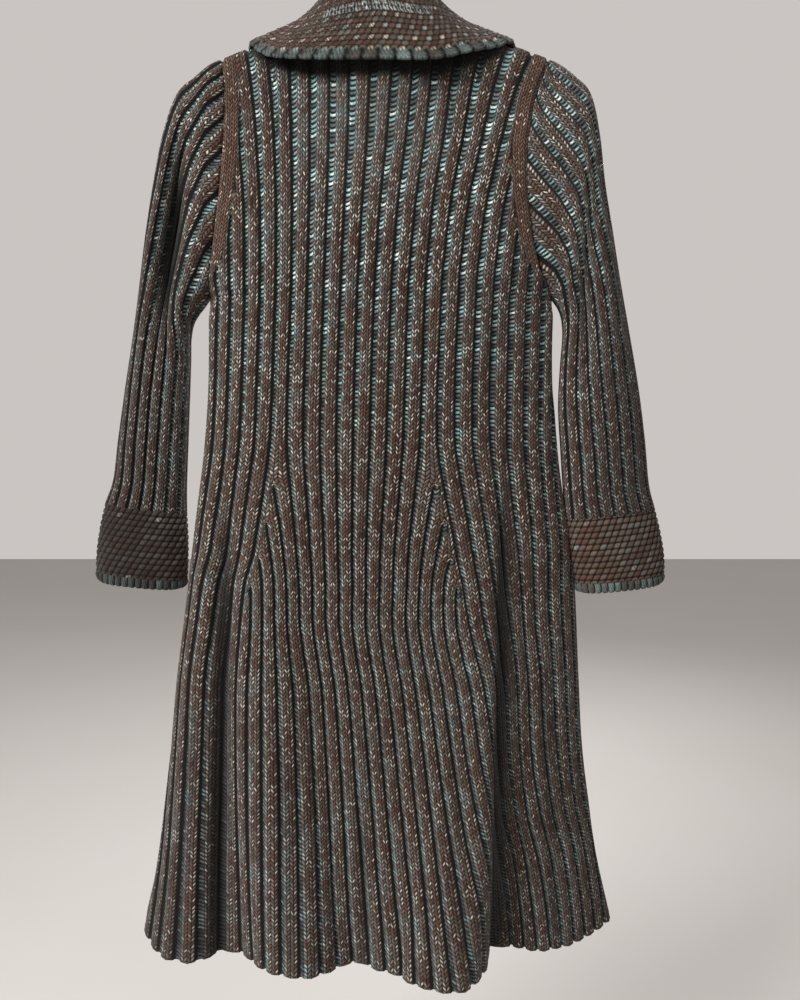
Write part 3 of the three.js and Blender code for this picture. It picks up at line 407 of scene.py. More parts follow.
def armhole_depth(level):
    """How far the armhole's edge stands from the middle plane."""
    drop = SHOULDER_TIP - level
    spread = smooth(drop / ARMHOLE_SPREAD["height"]) * ARMHOLE_SPREAD["depth"]
    closed = 1 - np.clip((level - UNDERARM) / UNDERARM_CURVE, 0, 1)
    return (ridge(drop) + spread) * np.sqrt(1 - closed * closed)


def trunk(face, x, level):
    """Points of the smooth trunk at places across on one row."""
    left, right = side_edges(level)
    across = np.clip((x - (left + right) / 2) / ((right - left) / 2), -1, 1)
    lens = (1 - np.abs(across) ** LENS_POWER) ** LENS_ROOT
    if level < UNDERARM:
        fold = np.clip((FOLD_START - level) / (FOLD_START - HEM), 0, 1) ** FOLD_POWER
        share = np.abs(across) ** (1 + np.clip((level - HEM) / FOLD_GATHER, 0, 1))
        place = share * np.where(across < 0, SECTION_LINES["left"](HEM), SECTION_LINES["right"](HEM))
        depth = mix(SECTION_LINES[face](level) * lens, HEM_LINES[face]["out"](place), fold)
        if face == "back":
            step = smooth((place - HEM_STEP["at"]) / HEM_STEP["width"])
            step = step * smooth((HEM_STEP["end"] - place) / HEM_STEP["fade"])
            step = step * smooth((HEM_STEP["top"] - level) / (HEM_STEP["top"] - HEM))
            depth = depth + HEM_STEP["depth"] * step
        z = level + HEM_LINES[face]["lift"](place) * fold * fold
        return np.stack([x, OUT[face] * depth, z], -1)
    rise = (level - UNDERARM) / (SHOULDER_TIP - UNDERARM)
    top = top_line(face, x)
    z = level + (top - SHOULDER_TIP) * rise ** SHOULDER_PULL
    drop = top - z
    chest = ridge(drop) + (CHEST_DEPTH - RIDGE_RADIUS) * smooth(1 - rise)
    round_neck = np.sqrt(np.maximum(1 - (x / NECK_HALF) ** 2, 0))
    wide_neck = np.exp(-((x / NECK_BLEND["half"]) ** 2))
    neck = NECK_REACH * mix(round_neck, wide_neck, smooth(drop / NECK_BLEND["drop"]))
    neck = neck * np.exp(-drop / NECK_BLEND["fade"])
    depth = np.hypot(mix(armhole_depth(level), chest, lens), neck)
    return np.stack([x, OUT[face] * depth, z], -1)


class Walk:
    """A line of points that is walked by length."""

    def __init__(self, points):
        self.points = points
        steps = np.linalg.norm(np.diff(points, axis=0), axis=1)
        self.walked = np.concatenate([[0], np.cumsum(steps)])
        self.length = self.walked[-1]

    def at(self, place):
        return np.stack([np.interp(place, self.walked, self.points[:, axis]) for axis in range(3)], -1)

    def to_x(self, x):
        return float(np.interp(x, self.points[:, 0], self.walked))


def trunk_row(face, level, low, high):
    """One row of the smooth trunk from one place across to another."""
    share = (1 - np.cos(np.linspace(0, math.pi, ROW_POINTS))) / 2
    return Walk(trunk(face, mix(low, high, share), level))


# ---- Ribs ----

def rib_steps(pitch, crown_width):
    """Places of the mesh lines across one rib: trough, foot, shoulder, crown, shoulder, foot."""
    crown = np.clip(crown_width / 2 / pitch, *CROWN_SHARE)
    shoulder = min(0.5 - crown, WIDEST_TROUGH / 2 / pitch)
    foot = max(shoulder - RIB_WALL, LEAST_FOOT)
    return np.array([0, foot, shoulder, 0.5, 1 - shoulder, 1 - foot]), foot, shoulder


def zone_phases(ribs, count, steps, crowded=None):
    """Rib places of the mesh lines, with the lines of ribs that aren't there yet crowded at the end."""
    phase = np.concatenate([k + steps for k in range(count)] + [[count]])
    if crowded is None:
        return phase * ribs / count
    keep = ribs - crowded
    return np.where(phase < keep, phase, keep + (phase - keep) * crowded / (count - keep))


def near_troughs(phase, troughs, depth, foot, shoulder, bare):
    """Which trough a place belongs to and how far it is from it: its foot at FOOT_PLACE, its shoulder at
    SHOULDER_PLACE and the crown's middle at 0.5, with a sign for its side. A trough of no depth counts as
    crown, and on bare cloth all places move towards the crown."""
    number = np.flatnonzero(depth > 0)
    troughs, shallow = troughs[number], 0.5 * (1 - depth[number])
    away = np.abs(phase[:, None] - troughs) + shallow
    nearest = np.argmin(away, axis=1)
    after = np.clip(np.searchsorted(troughs, phase, side="right"), 1, len(troughs) - 1)
    gap = troughs[after] - troughs[after - 1] + shallow[after] + shallow[after - 1]
    middle = np.maximum(gap / 2, 0.5)
    distance = np.minimum(away[np.arange(len(phase)), nearest] + 0.5 * bare, middle)
    low = np.interp(distance, [0, foot, shoulder], [0, FOOT_PLACE, SHOULDER_PLACE])
    place = mix(low, 0.5, np.maximum(distance - shoulder, 0) / (middle - shoulder))
    return number[nearest], np.where(phase < troughs[nearest], -place, place)


class Zone:
    """A run of ribs on one row: walked places of its mesh lines and what lies there."""

    def __init__(self, start, end, ribs, count, crown_width, crowded=None, band=0.0, fan=False, tag=0):
        pitch = (end - start) / ribs
        steps, foot, shoulder = rib_steps(abs(pitch), crown_width)
        phase = zone_phases(ribs, count, steps, crowded)
        self.place = start + pitch * phase
        self.away = np.full_like(phase, FAR)
        self.bare = np.zeros_like(phase)
        troughs = np.arange(0, math.floor(ribs) + 2.0)
        depth = np.ones_like(troughs)
        if fan:
            depth[1:] = smooth((ribs - troughs[1:] - FAN_START["after"]) / FAN_START["over"])
            troughs = np.append(troughs[troughs < ribs - 0.01], ribs)
            depth = np.append(depth[:len(troughs) - 1], 1.0)
        elif crowded is not None:
            self.away = np.abs(end - self.place)
            if band > 0:
                self.bare = smooth((band + ARMHOLE_BAND["beyond"] - self.away) / ARMHOLE_BAND["fade"])
        seen = [near_troughs(phase + step, troughs, depth, foot, shoulder, self.bare)
                for step in (-1e-6, 1e-6)]
        self.rib = np.abs(seen[1][1])
        before, after = [index + place + tag for index, place in seen]
        self.left, self.right = after[:-1], before[1:]

    def flipped(self):
        """The same zone for the other side, so that its places still run from left to right."""
        self.place, self.away, self.bare, self.rib = (
            values[::-1] for values in (self.place, self.away, self.bare, self.rib))
        self.left, self.right = -self.right[::-1], -self.left[::-1]
        return self


def outer_zone(start, end, pitch, count, band, crown_width, tag):
    """The ribs outside a fan line, which run out at the side edge or at the armhole's plain band."""
    ribs = max(abs(end - start) / pitch, OUTER_RIBS["least"])
    crowded = max(OUTER_RIBS["crowded"], (band + OUTER_RIBS["past_band"]) / pitch)
    crowded = min(crowded, ribs - OUTER_RIBS["kept"])
    return Zone(start, end, ribs, count, crown_width, crowded, band, tag=tag)


def fan_zone(start, end, ribs, crown_width, tag):
    """The ribs of a fan, which start along its outer line."""
    return Zone(start, end, ribs, FAN_RIBS, crown_width, FAN_CROWDED, fan=True, tag=tag)


def crown_width_at(level):
    """The ribs' crowns widen down the skirt."""
    return CROWN_WIDTH + SKIRT_CROWN["wider"] * smooth((SKIRT_CROWN["from"] - level) / SKIRT_CROWN["over"])


def band_width(level):
    """The plain band along the armhole, which starts at the underarm."""
    return ARMHOLE_BAND["width"] * float(smooth((level - UNDERARM) / ARMHOLE_BAND["over"]))


def join(*zones):
    """Zones side by side, each starting where the last one ends."""
    lines = [np.concatenate([getattr(part, key)[(1 if n else 0):] for n, part in enumerate(zones)])
             for key in ("place", "rib", "bare", "away")]
    spans = [np.concatenate([getattr(part, key) for part in zones]) for key in ("left", "right")]
    return lines + spans


def back_columns(row, level):
    """The ribs of the back on one row: outer ribs, fan, middle, fan, outer ribs."""
    line = {name: float(value(level)) for name, value in BACK_LINES.items()}
    crown = crown_width_at(level)
    inner_left, inner_right = row.to_x(line["inner_left"]), row.to_x(line["inner_right"])
    fan_left, fan_right = row.to_x(line["fan_left"]), row.to_x(line["fan_right"])
    band = band_width(level)
    return join(
        outer_zone(fan_left, 0.0, line["left_pitch"], 6, band, crown, 60).flipped(),
        fan_zone(inner_left, fan_left, line["fan"], crown, 40).flipped(),
        Zone(inner_left, inner_right, BACK_MIDDLE_RIBS, BACK_MIDDLE_RIBS, crown),
        fan_zone(inner_right, fan_right, line["fan"], crown, 20),
        outer_zone(fan_right, row.length, line["right_pitch"], 9, band, crown, 80))


def front_columns(side):
    """The ribs of a front on one row, from its band to the side seam."""
    def columns(row, level):
        line = {name: float(value(level)) for name, value in FRONT_LINES.items()}
        crown = crown_width_at(level)
        edge = row.length if side < 0 else 0.0
        inner, fan_line = row.to_x(side * line["inner"]), row.to_x(side * line["fan_line"])
        zones = [Zone(edge, inner, FRONT_MIDDLE_RIBS, FRONT_MIDDLE_RIBS, crown),
                 fan_zone(inner, fan_line, line["fan"], crown, 20),
                 outer_zone(fan_line, row.length - edge, line["pitch"], 5, band_width(level), crown, 40)]
        return join(*[zone.flipped() for zone in reversed(zones)]) if side < 0 else join(*zones)
    return columns


# ---- Meshes ----

def unit(vectors):
    return vectors / np.maximum(np.linalg.norm(vectors, axis=-1, keepdims=True), 1e-9)


def normals_of(points):
    """Directions across an open grid of points."""
    return unit(np.cross(np.gradient(points, axis=1), np.gradient(points, axis=0)))


def walked_down(points):
    """How far each point of a grid lies from its first row, walked along the cloth."""
    steps = np.linalg.norm(np.diff(points, axis=0), axis=-1)
    return np.concatenate([np.zeros((1, points.shape[1])), np.cumsum(steps, axis=0)])


def placed(name, data):
    """A new object in the scene."""
    made = bpy.data.objects.new(name, data)
    bpy.context.scene.collection.objects.link(made)
    return made


def knit_piece(name, points, maps, marks=None, closed=False, turned=False, wall=WALL):
    """A sheet of knitting through a grid of points, in millimetres, given its thickness inwards.
    maps are its UV maps by name, each with the values at the left and at the right end of every span, and
    marks its painted values, each one grid of values."""
    rows, columns = points.shape[:2]
    sheet = bmesh.new()
    bmesh.ops.create_grid(sheet, x_segments=columns - 1, y_segments=rows - 1, size=1)
    sheet.verts.ensure_lookup_table()
    places = np.array([vertex.co[:2] for vertex in sheet.verts])
    column = np.rint((places[:, 0] + 1) / 2 * (columns - 1)).astype(int)
    line = np.rint((places[:, 1] + 1) / 2 * (rows - 1)).astype(int)
    for vertex, place in zip(sheet.verts, points[line, column] * MM):
        vertex.co = place
    for title, (left, right) in maps.items():
        layer = sheet.loops.layers.uv.new(title)
        for face in sheet.faces:
            first = min(column[vertex.index] for vertex in face.verts)
            lowest = min(line[vertex.index] for vertex in face.verts)
            start = left[lowest, first, 0]
            for loop in face.loops:
                at = loop.vert.index
                u, v = (left if column[at] == first else right)[line[at], first]
                loop[layer].uv = (u + round(start - u) if title == "stitch" else u, v)
    for title, values in (marks or {}).items():
        layer = sheet.verts.layers.float.new(title)
        for vertex, value in zip(sheet.verts, values[line, column]):
            vertex[layer] = value
    if closed:
        seam = [vertex for vertex in sheet.verts if column[vertex.index] in (0, columns - 1)]
        bmesh.ops.remove_doubles(sheet, verts=seam, dist=1e-6)
    if turned:
        bmesh.ops.reverse_faces(sheet, faces=sheet.faces)
    for face in sheet.faces:
        face.smooth = True
    mesh = bpy.data.meshes.new(name)
    sheet.to_mesh(mesh)
    sheet.free()
    piece = placed(name, mesh)
    solid = piece.modifiers.new("thickness", "SOLIDIFY")
    solid.thickness = wall * MM
    solid.offset = -1
    solid.use_even_offset = False
    return piece


def rib_lift(rib):
    """How far the cloth stands out of its smooth surface at a rib place."""
    return RIB_RISE * np.interp(rib, [0, FOOT_PLACE, SHOULDER_PLACE, 0.5], RIB_PROFILE)


def spans(across, rows):
    """A UV map whose values run on from span to span."""
    grid = np.stack([np.broadcast_to(across, rows.shape), rows], -1)
    return grid[:, :-1], grid[:, 1:]


def rib_map(left, right, rows):
    """The UV map of the ribs, which starts anew at zones and troughs."""
    return np.stack([left, rows[:, :-1]], -1), np.stack([right, rows[:, 1:]], -1)


def seat_fade(face, points):
    """The ribs run out under the collar and at the underarm."""
    x, z = points[..., 0], points[..., 2]
    below_collar = smooth((top_line(face, x) - z) / COLLAR_SEAT["fade"])
    corner = np.where(x < 0, SECTION_LINES["left"](UNDERARM), SECTION_LINES["right"](UNDERARM))
    off_underarm = smooth(np.hypot(x - corner, z - UNDERARM) / UNDERARM_FADE)
    return np.where(np.abs(x) < COLLAR_SEAT["half"], below_collar, 1) * off_underarm


def panel(name, face, columns_of, edges_of, calm):
    """A ribbed panel of the trunk."""
    levels = np.linspace(HEM, SHOULDER_TIP, PANEL_ROWS)
    lines = []
    for level in levels:
        row = trunk_row(face, level, *edges_of(level))
        place, *rest = columns_of(row, level)
        lines.append([row.at(place)] + rest)
    points, ribs, bare, away, left, right = (np.array(values) for values in zip(*lines))
    calmed = calm(points)
    creased = trunk_creases(face, points)
    normal = normals_of(points) * -OUT[face]
    points = points - normal * creased[..., None]
    lift = rib_lift(ribs) * seat_fade(face, points) * smooth(away / EDGE_FADE) * (1 - CALM["loss"] * calmed)
    finished = points + normal * lift[..., None]
    at_hem = smooth((HEM + SCALLOP["height"] - levels[:, None]) / SCALLOP["height"])
    finished[..., 2] -= SCALLOP["depth"] * smooth((ribs - SCALLOP["from"]) / SCALLOP["over"]) * at_hem
    finished[:, :, 1] = OUT[face] * np.maximum(OUT[face] * finished[:, :, 1], SEAM_GAP / 2)
    rows = np.broadcast_to((levels - HEM)[:, None] / STITCH_ROW, ribs.shape)
    maps = {"stitch": rib_map(left, right, rows), "edge": spans(away / KNIT_COLUMN, rows)}
    # Painted shade in the creases and in the strip under the collar's edge, carried to the finish as a mark
    marks = {"plain": bare, "calm": calmed, "painted_shade": creased / CREASE_SHADE[face] + under_collar(face, points)}
    return knit_piece(name, finished, maps, marks, turned=face == "front")


def trunk_creases(face, points):
    """How far the listed creases pull the cloth in."""
    x, z = points[..., 0], points[..., 2]
    pulled = np.zeros(x.shape)
    for low, high, bottom, top, depth, width in zip(*TRUNK_CREASES[face].values()):
        rise = np.clip((z - bottom) / (top - bottom), 0, 1)
        ends = smooth((top - z) / (CREASE_ENDS["top_share"] * (top - bottom)))
        ends = ends * smooth((z - bottom + CREASE_ENDS["foot"]) / CREASE_ENDS["foot"])
        pulled += depth * ends * np.exp(-(((x - mix(low, high, rise)) / width) ** 2))
    return pulled


def under_collar(face, points):
    """The strip of shade below the collar's edge."""
    behind = (COLLAR["angle"] > 0) & (COLLAR["angle"] < 180)
    rows = behind if face == "back" else ~behind
    order = np.argsort(COLLAR["edge_x"][rows])
    across, edge = COLLAR["edge_x"][rows][order], COLLAR["edge_z"][rows][order]
    x, z = points[..., 0], points[..., 2]
    height, side, strength = COLLAR_SHADE.values()
    strip = smooth((z - np.interp(x, across, edge) + height) / height)
    covered = smooth((x - across[0] + side) / side) * smooth((across[-1] + side - x) / side)
    return strength * strip * covered


def calm_back(points):
    """The upper middle of the back, where the ribs lie flatter."""
    x, z = points[..., 0], points[..., 2]
    across = smooth((x - CALM["left"]) / CALM["side"]) * smooth((CALM["right"] - x) / CALM["side"])
    return across * smooth((z - CALM["foot"]) / CALM["height"])


def calm_front(points):
    """The fronts are ribbed all over."""
    return np.zeros(points.shape[:2])


def tube_loop(lines, station):
    """Places round a tube between its outer and its inner end, flattened front to back."""
    value = {name: float(line(station)) for name, line in lines.items()}
    outer = np.array([value["outer_x"], 0, value["outer_z"]])
    inner = np.array([value["inner_x"], 0, value["inner_z"]])
    turn = np.linspace(0, 1, LOOP_POINTS)
    chord = np.cos(turn * 2 * math.pi)
    facing = np.where(turn <= 0.5, -1.0, 1.0)
    around = np.sqrt(np.maximum(1 - np.abs(chord) ** SLEEVE_PLUMP, 0))
    place = np.arccos(np.clip(chord, -1, 1)) / (2 * math.pi)
    crease = value["crease"] * np.exp(-(((place - value["at"]) / CREASE_WIDTH) ** 2))
    depth = value["depth"] * around * np.where(facing < 0, 1 - crease, 1)
    points = (outer + inner) / 2 + chord[:, None] * (outer - inner) / 2
    points[:, 1] = facing * depth
    return points


def armhole_loop(side):
    """Places round the armhole, where the sleeve starts."""
    turn = np.linspace(0, 1, LOOP_POINTS)
    z = mix(UNDERARM, SHOULDER_TIP, (1 + np.cos(turn * 2 * math.pi)) / 2)
    edge = np.interp(z, ARMHOLES["z"], ARMHOLES[SIDES[side]])
    facing = np.where(turn <= 0.5, -1.0, 1.0)
    depth = facing * np.maximum(armhole_depth(z) - ARMHOLE_LAP["depth"], 0)
    return np.stack([edge - side * ARMHOLE_LAP["across"], depth, z], -1)


def tube_lines(columns):
    """The smooth lines through a tube's stations, and the number of its last one."""
    count = len(columns["depth"])
    return lines_of(dict(columns, station=np.arange(count, dtype=float)), "station"), count - 1


def cap_share(side, share, station):
    """Where the ribs lie round the sleeve's cap: they come off the armhole crowded at its top."""
    half = 1 - np.abs(1 - 2 * share)
    crowded = mix(half, half * half, CAP_CROWDING)
    evened = CAP_SHARES[SIDES[side]]
    moved = mix(crowded, half, np.interp(station, np.arange(len(evened)), evened)) / 2
    return np.where(share <= 0.5, moved, 1 - moved)


def sleeve(name, side):
    """A ribbed tube from the armhole to the cuff."""
    lines, last = tube_lines(SLEEVES[SIDES[side]])
    start = Walk(armhole_loop(side))
    turn = np.linspace(0, 1, LOOP_POINTS)
    rings = []
    for station in np.linspace(0, last, SLEEVE_ROWS):
        loop = Walk(tube_loop(lines, station))
        around = Zone(0.0, loop.length, SLEEVE_RIBS, SLEEVE_RIBS, CROWN_WIDTH)
        share = cap_share(side, around.place / loop.length, station)
        points = loop.at(share * loop.length)
        if station < 1:
            points = mix(start.at(share * start.length), points, station)
        at = np.interp(share * loop.length, loop.walked, turn)
        # Painted shade along the sleeve's crease, strongest in its deep fold
        away = (at - float(lines["at"](station))) / CREASE_WIDTH * SLEEVE_SHADE["narrower"]
        shade = float(lines["crease"](station)) * np.exp(-away ** 2)
        rings.append([points, around.rib, around.left, around.right,
                      shade * smooth(station / SLEEVE_SHADE["stations"])])
    points, ribs, left, right, painted_shade = (np.array(values) for values in zip(*rings))
    normal = tube_normals(points, side)
    walked = walked_down(points)
    finished = points + normal * (rib_lift(ribs) * smooth(walked / SLEEVE_FADE))[..., None]
    rows = (walked[-1] - walked) / STITCH_ROW
    maps = {"stitch": rib_map(-side * left, -side * right, rows), "edge": spans(FAR, rows)}
    marks = {"plain": np.zeros_like(ribs), "calm": np.zeros_like(ribs), "painted_shade": painted_shade}
    return knit_piece(name, finished, maps, marks, closed=True, turned=side < 0)


def tube_normals(points, side):
    """Outward directions on a closed tube."""
    ring = np.concatenate([points[:, -2:-1], points, points[:, 1:2]], axis=1)
    along = (ring[:, 2:] - ring[:, :-2]) / 2
    return unit(np.cross(along, np.gradient(points, axis=0)) * side)


def bulge(share, power):
    """A rounded rise from 0 to 1 and back, over a share that runs from 0 to 1."""
    return np.sqrt(np.clip(1 - np.abs(2 * share - 1) ** power, 0, 1))


def basket_lift(across, rows, rise, lean=BASKET_LEAN):
    """Relief of the basket stitch: bumps in a brick pattern, leaning to the right."""
    line = np.floor(rows)
    shift = across + 0.5 * (line % 2) - lean * (rows - line - 0.5)
    return rise * bulge(shift - np.floor(shift), BUMP_POWER) * bulge(rows - line, BUMP_POWER)


def edge_loops(around, from_edge):
    """The chunky loops along an edge: their relief, and how far they hang below it."""
    across = bulge(around - np.floor(around), LOOP_POWER)
    share = np.clip(from_edge / EDGE_ROW, 0, 1)
    rounded = bulge(share, LOOP_POWER) * (from_edge < EDGE_ROW)
    return LOOP_RISE * across * rounded, LOOP_DROP * across * smooth(1 - 1.5 * share)


def knobbed(points, normal, across, from_edge, base, knobs, loops_down=0.0):
    """Basket knobs all over, and a row of loops that hangs below the edge. The loops lie one to an across."""
    loops, hang = edge_loops(across, from_edge)
    lift = base + np.where(from_edge < EDGE_ROW, loops - loops_down, knobs)
    finished = points + normal * lift[..., None]
    finished[..., 2] -= hang
    return finished


def cuff(name, side):
    """A basket stitch tube with an edge of loops and rounded lower corners."""
    lines, last = tube_lines(CUFFS[SIDES[side]])
    shares = np.linspace(0, 1, CUFF_MESH["columns"])
    loops = [Walk(tube_loop(lines, station)) for station in np.linspace(0, last, CUFF_MESH["rows"])]
    points = np.array([loop.at(shares * loop.length) for loop in loops])
    around = np.linalg.norm(np.diff(points, axis=1), axis=-1).sum(axis=1).mean()
    cells = 2 * round(around / (2 * CUFF_KNOB))
    walked = walked_down(points).mean(axis=1)
    across = np.broadcast_to(-side * shares * cells, points.shape[:2])
    from_end = np.broadcast_to((walked[-1] - walked)[:, None], points.shape[:2])
    rows = from_end / CUFF_ROW
    knobs = basket_lift(across, rows, CUFF_RELIEF["rise"], CUFF_LEAN)
    finished = knobbed(points, tube_normals(points, side), across, from_end, CUFF_RELIEF["base"], knobs)
    middle = (points.max(axis=1) + points.min(axis=1))[:, None, 0] / 2
    half = (points.max(axis=1) - points.min(axis=1))[:, None, 0] / 2
    near_end = np.clip(1 - from_end / CUFF_CORNER, 0, 1)
    pull = CUFF_CORNER * (1 - np.sqrt(1 - near_end ** 2))
    reach = (finished[..., 0] - middle) / half
    finished[..., 0] -= np.sign(reach) * pull * np.clip(np.abs(reach), 0, 1) ** CORNER_POWER
    maps = {"stitch": spans(across, rows), "edge": spans(across, from_end / EDGE_ROW)}
    return knit_piece(name, finished, maps, closed=True, turned=side < 0)


def front_band(name, side):
    """A straight strip of basket stitch along a front edge."""
    levels = np.linspace(HEM, SHOULDER_TIP, BAND_MESH["rows"])
    near, far = side * BAND_INNER, side * (BAND_OUTER - SEAM_GAP)
    low, high = min(near, far), max(near, far)
    shares = np.linspace(0, 1, BAND_MESH["columns"])
    strips = [trunk_row("front", level, low, high) for level in levels]
    points = np.array([strip.at(shares * strip.length) for strip in strips])
    across = np.broadcast_to(shares * (far - near) * side / KNOB, points.shape[:2])
    rows = np.broadcast_to((levels - HEM)[:, None] / BASKET_ROW, points.shape[:2])
    lift = (BAND_RELIEF["base"] + basket_lift(across, rows, BAND_RELIEF["rise"])) * seat_fade("front", points)
    finished = points - normals_of(points) * lift[..., None]
    maps = {"stitch": spans(across, rows), "edge": spans(across, rows + FAR)}
    return knit_piece(name, finished, maps, turned=True)


def collar(name):
    """The collar: up from the neckline, over its fold and down to its outer edge."""
    lines = lines_of(COLLAR, "angle")
    angles = np.linspace(COLLAR["angle"][0], COLLAR["angle"][-1], COLLAR_MESH["columns"])
    grid = []
    for angle in angles:
        value = {title: float(line(angle)) for title, line in lines.items()}
        turn = math.radians(angle)
        face = "back" if math.sin(turn) > 0 else "front"
        share = abs(math.cos(turn))
        drop = NECK_DROP[face] * (1 - share * share if face == "back" else 1 - share)
        inset = 1 - (WALL + COLLAR_FOOT["inset"]) / NECK_HALF
        neck = np.array([-math.cos(turn) * NECK_HALF * inset, -math.sin(turn) * NECK_REACH * inset,
                         NECK_HEIGHT - drop + COLLAR_FOOT["lift"]])
        fold, bend, edge = (np.array([value[f"{line}_{axis}"] for axis in "xyz"])
                            for line in ("fold", "bend", "edge"))
        outward = np.array([fold[0], fold[1], 0])
        outward = outward / np.linalg.norm(outward) * COLLAR_ROLL["half"]
        stand = fold - outward
        stand[2] = mix(fold[2], neck[2], COLLAR_ROLL["stand"])
        start = fold + outward
        start[2] = mix(fold[2], bend[2], COLLAR_ROLL["start"])
        top = fold + [0, 0, COLLAR_ROLL["rise"]]
        aside = outward * COLLAR_ROLL["round"]
        t = np.linspace(0, 1, COLLAR_POINTS["fall"])[:, None]
        fall = (1 - t) ** 2 * start + 2 * t * (1 - t) * bend + t * t * edge
        u = np.linspace(0, 1, COLLAR_POINTS["fold"])[:, None]
        over = (1 - u) ** 3 * stand + 3 * u * (1 - u) ** 2 * (top - aside) \
            + 3 * u * u * (1 - u) * (top + aside) + u ** 3 * start
        up = mix(neck, stand, np.linspace(0, 1, COLLAR_POINTS["stand"])[:, None])
        path = Walk(np.concatenate([up, over[1:], fall[1:]]))
        grid.append(path.at(np.linspace(0, path.length, COLLAR_MESH["rows"])))
    points = np.array(grid).transpose(1, 0, 2)
    points[FALL_ROW:] = clear_of_shoulder(points[FALL_ROW:])
    walked = walked_down(points)
    from_edge = walked[-1] - walked
    across = np.broadcast_to(Walk(points[MEASURED_ROW]).walked / KNOB, points.shape[:2])
    rows = from_edge / BASKET_ROW
    knobs = basket_lift(across, rows, COLLAR_RELIEF["rise"])
    finished = knobbed(points, normals_of(points), across / 2, from_edge, COLLAR_WALL / 2, knobs,
                       COLLAR_RELIEF["loops_down"])
    maps = {"stitch": spans(across, rows), "edge": spans(across / 2, from_edge / EDGE_ROW)}
    return knit_piece(name, finished, maps, wall=COLLAR_WALL)


def clear_of_shoulder(points):
    """Keeps the collar's fall clear of the shoulders under it."""
    needed = RIDGE_RADIUS + COLLAR_WALL / 2 + COLLAR_CLEARANCE
    x, y, z = points[..., 0], points[..., 1], points[..., 2]
    middle = np.where(y < 0, top_line("back", x), top_line("front", x)) - RIDGE_RADIUS
    height = np.maximum(z - middle, 0)
    away = np.hypot(y, height)
    short = (away < needed) & (np.abs(x) >= NECK_HALF)
    grow = np.where(short, needed / np.maximum(away, 1e-6), 1)
    moved = points.copy()
    moved[..., 1] = y * grow
    moved[..., 2] = np.where(short & (height > 0), middle + height * grow, z)
    return moved


# ---- Finishes ----

def math_node(operation, swapped=False):
    """A method of a term that puts it, and its argument if there is one, into a math node."""
    def method(self, *other):
        terms = (*other, self) if swapped else (self, *other)
        return self.finish.node("ShaderNodeMath", {"operation": operation}, dict(enumerate(terms)))
    return method


class Term:
    """A shader socket that can stand in a sum."""

    __add__ = __radd__ = math_node("ADD")
    __mul__ = __rmul__ = math_node("MULTIPLY")
    __sub__ = math_node("SUBTRACT")
    __rsub__ = math_node("SUBTRACT", swapped=True)
    __truediv__ = math_node("DIVIDE")
    size = math_node("ABSOLUTE")
    part = math_node("FRACT")
    whole = math_node("FLOOR")
    power = math_node("POWER")
    over = math_node("GREATER_THAN")

    def __init__(self, finish, socket):
        self.finish = finish
        self.socket = socket

    def swing(self):
        """0 in the middle of every unit and 1 at its ends."""
        return (self.part() * 2 - 1).size()

    def ramp(self, low, high, out_low=0.0, out_high=1.0):
        """Smoothly from one value to another between two places."""
        return self.finish.node("ShaderNodeMapRange", {"interpolation_type": "SMOOTHSTEP"},
                                {0: self, 1: low, 2: high, 3: out_low, 4: out_high})


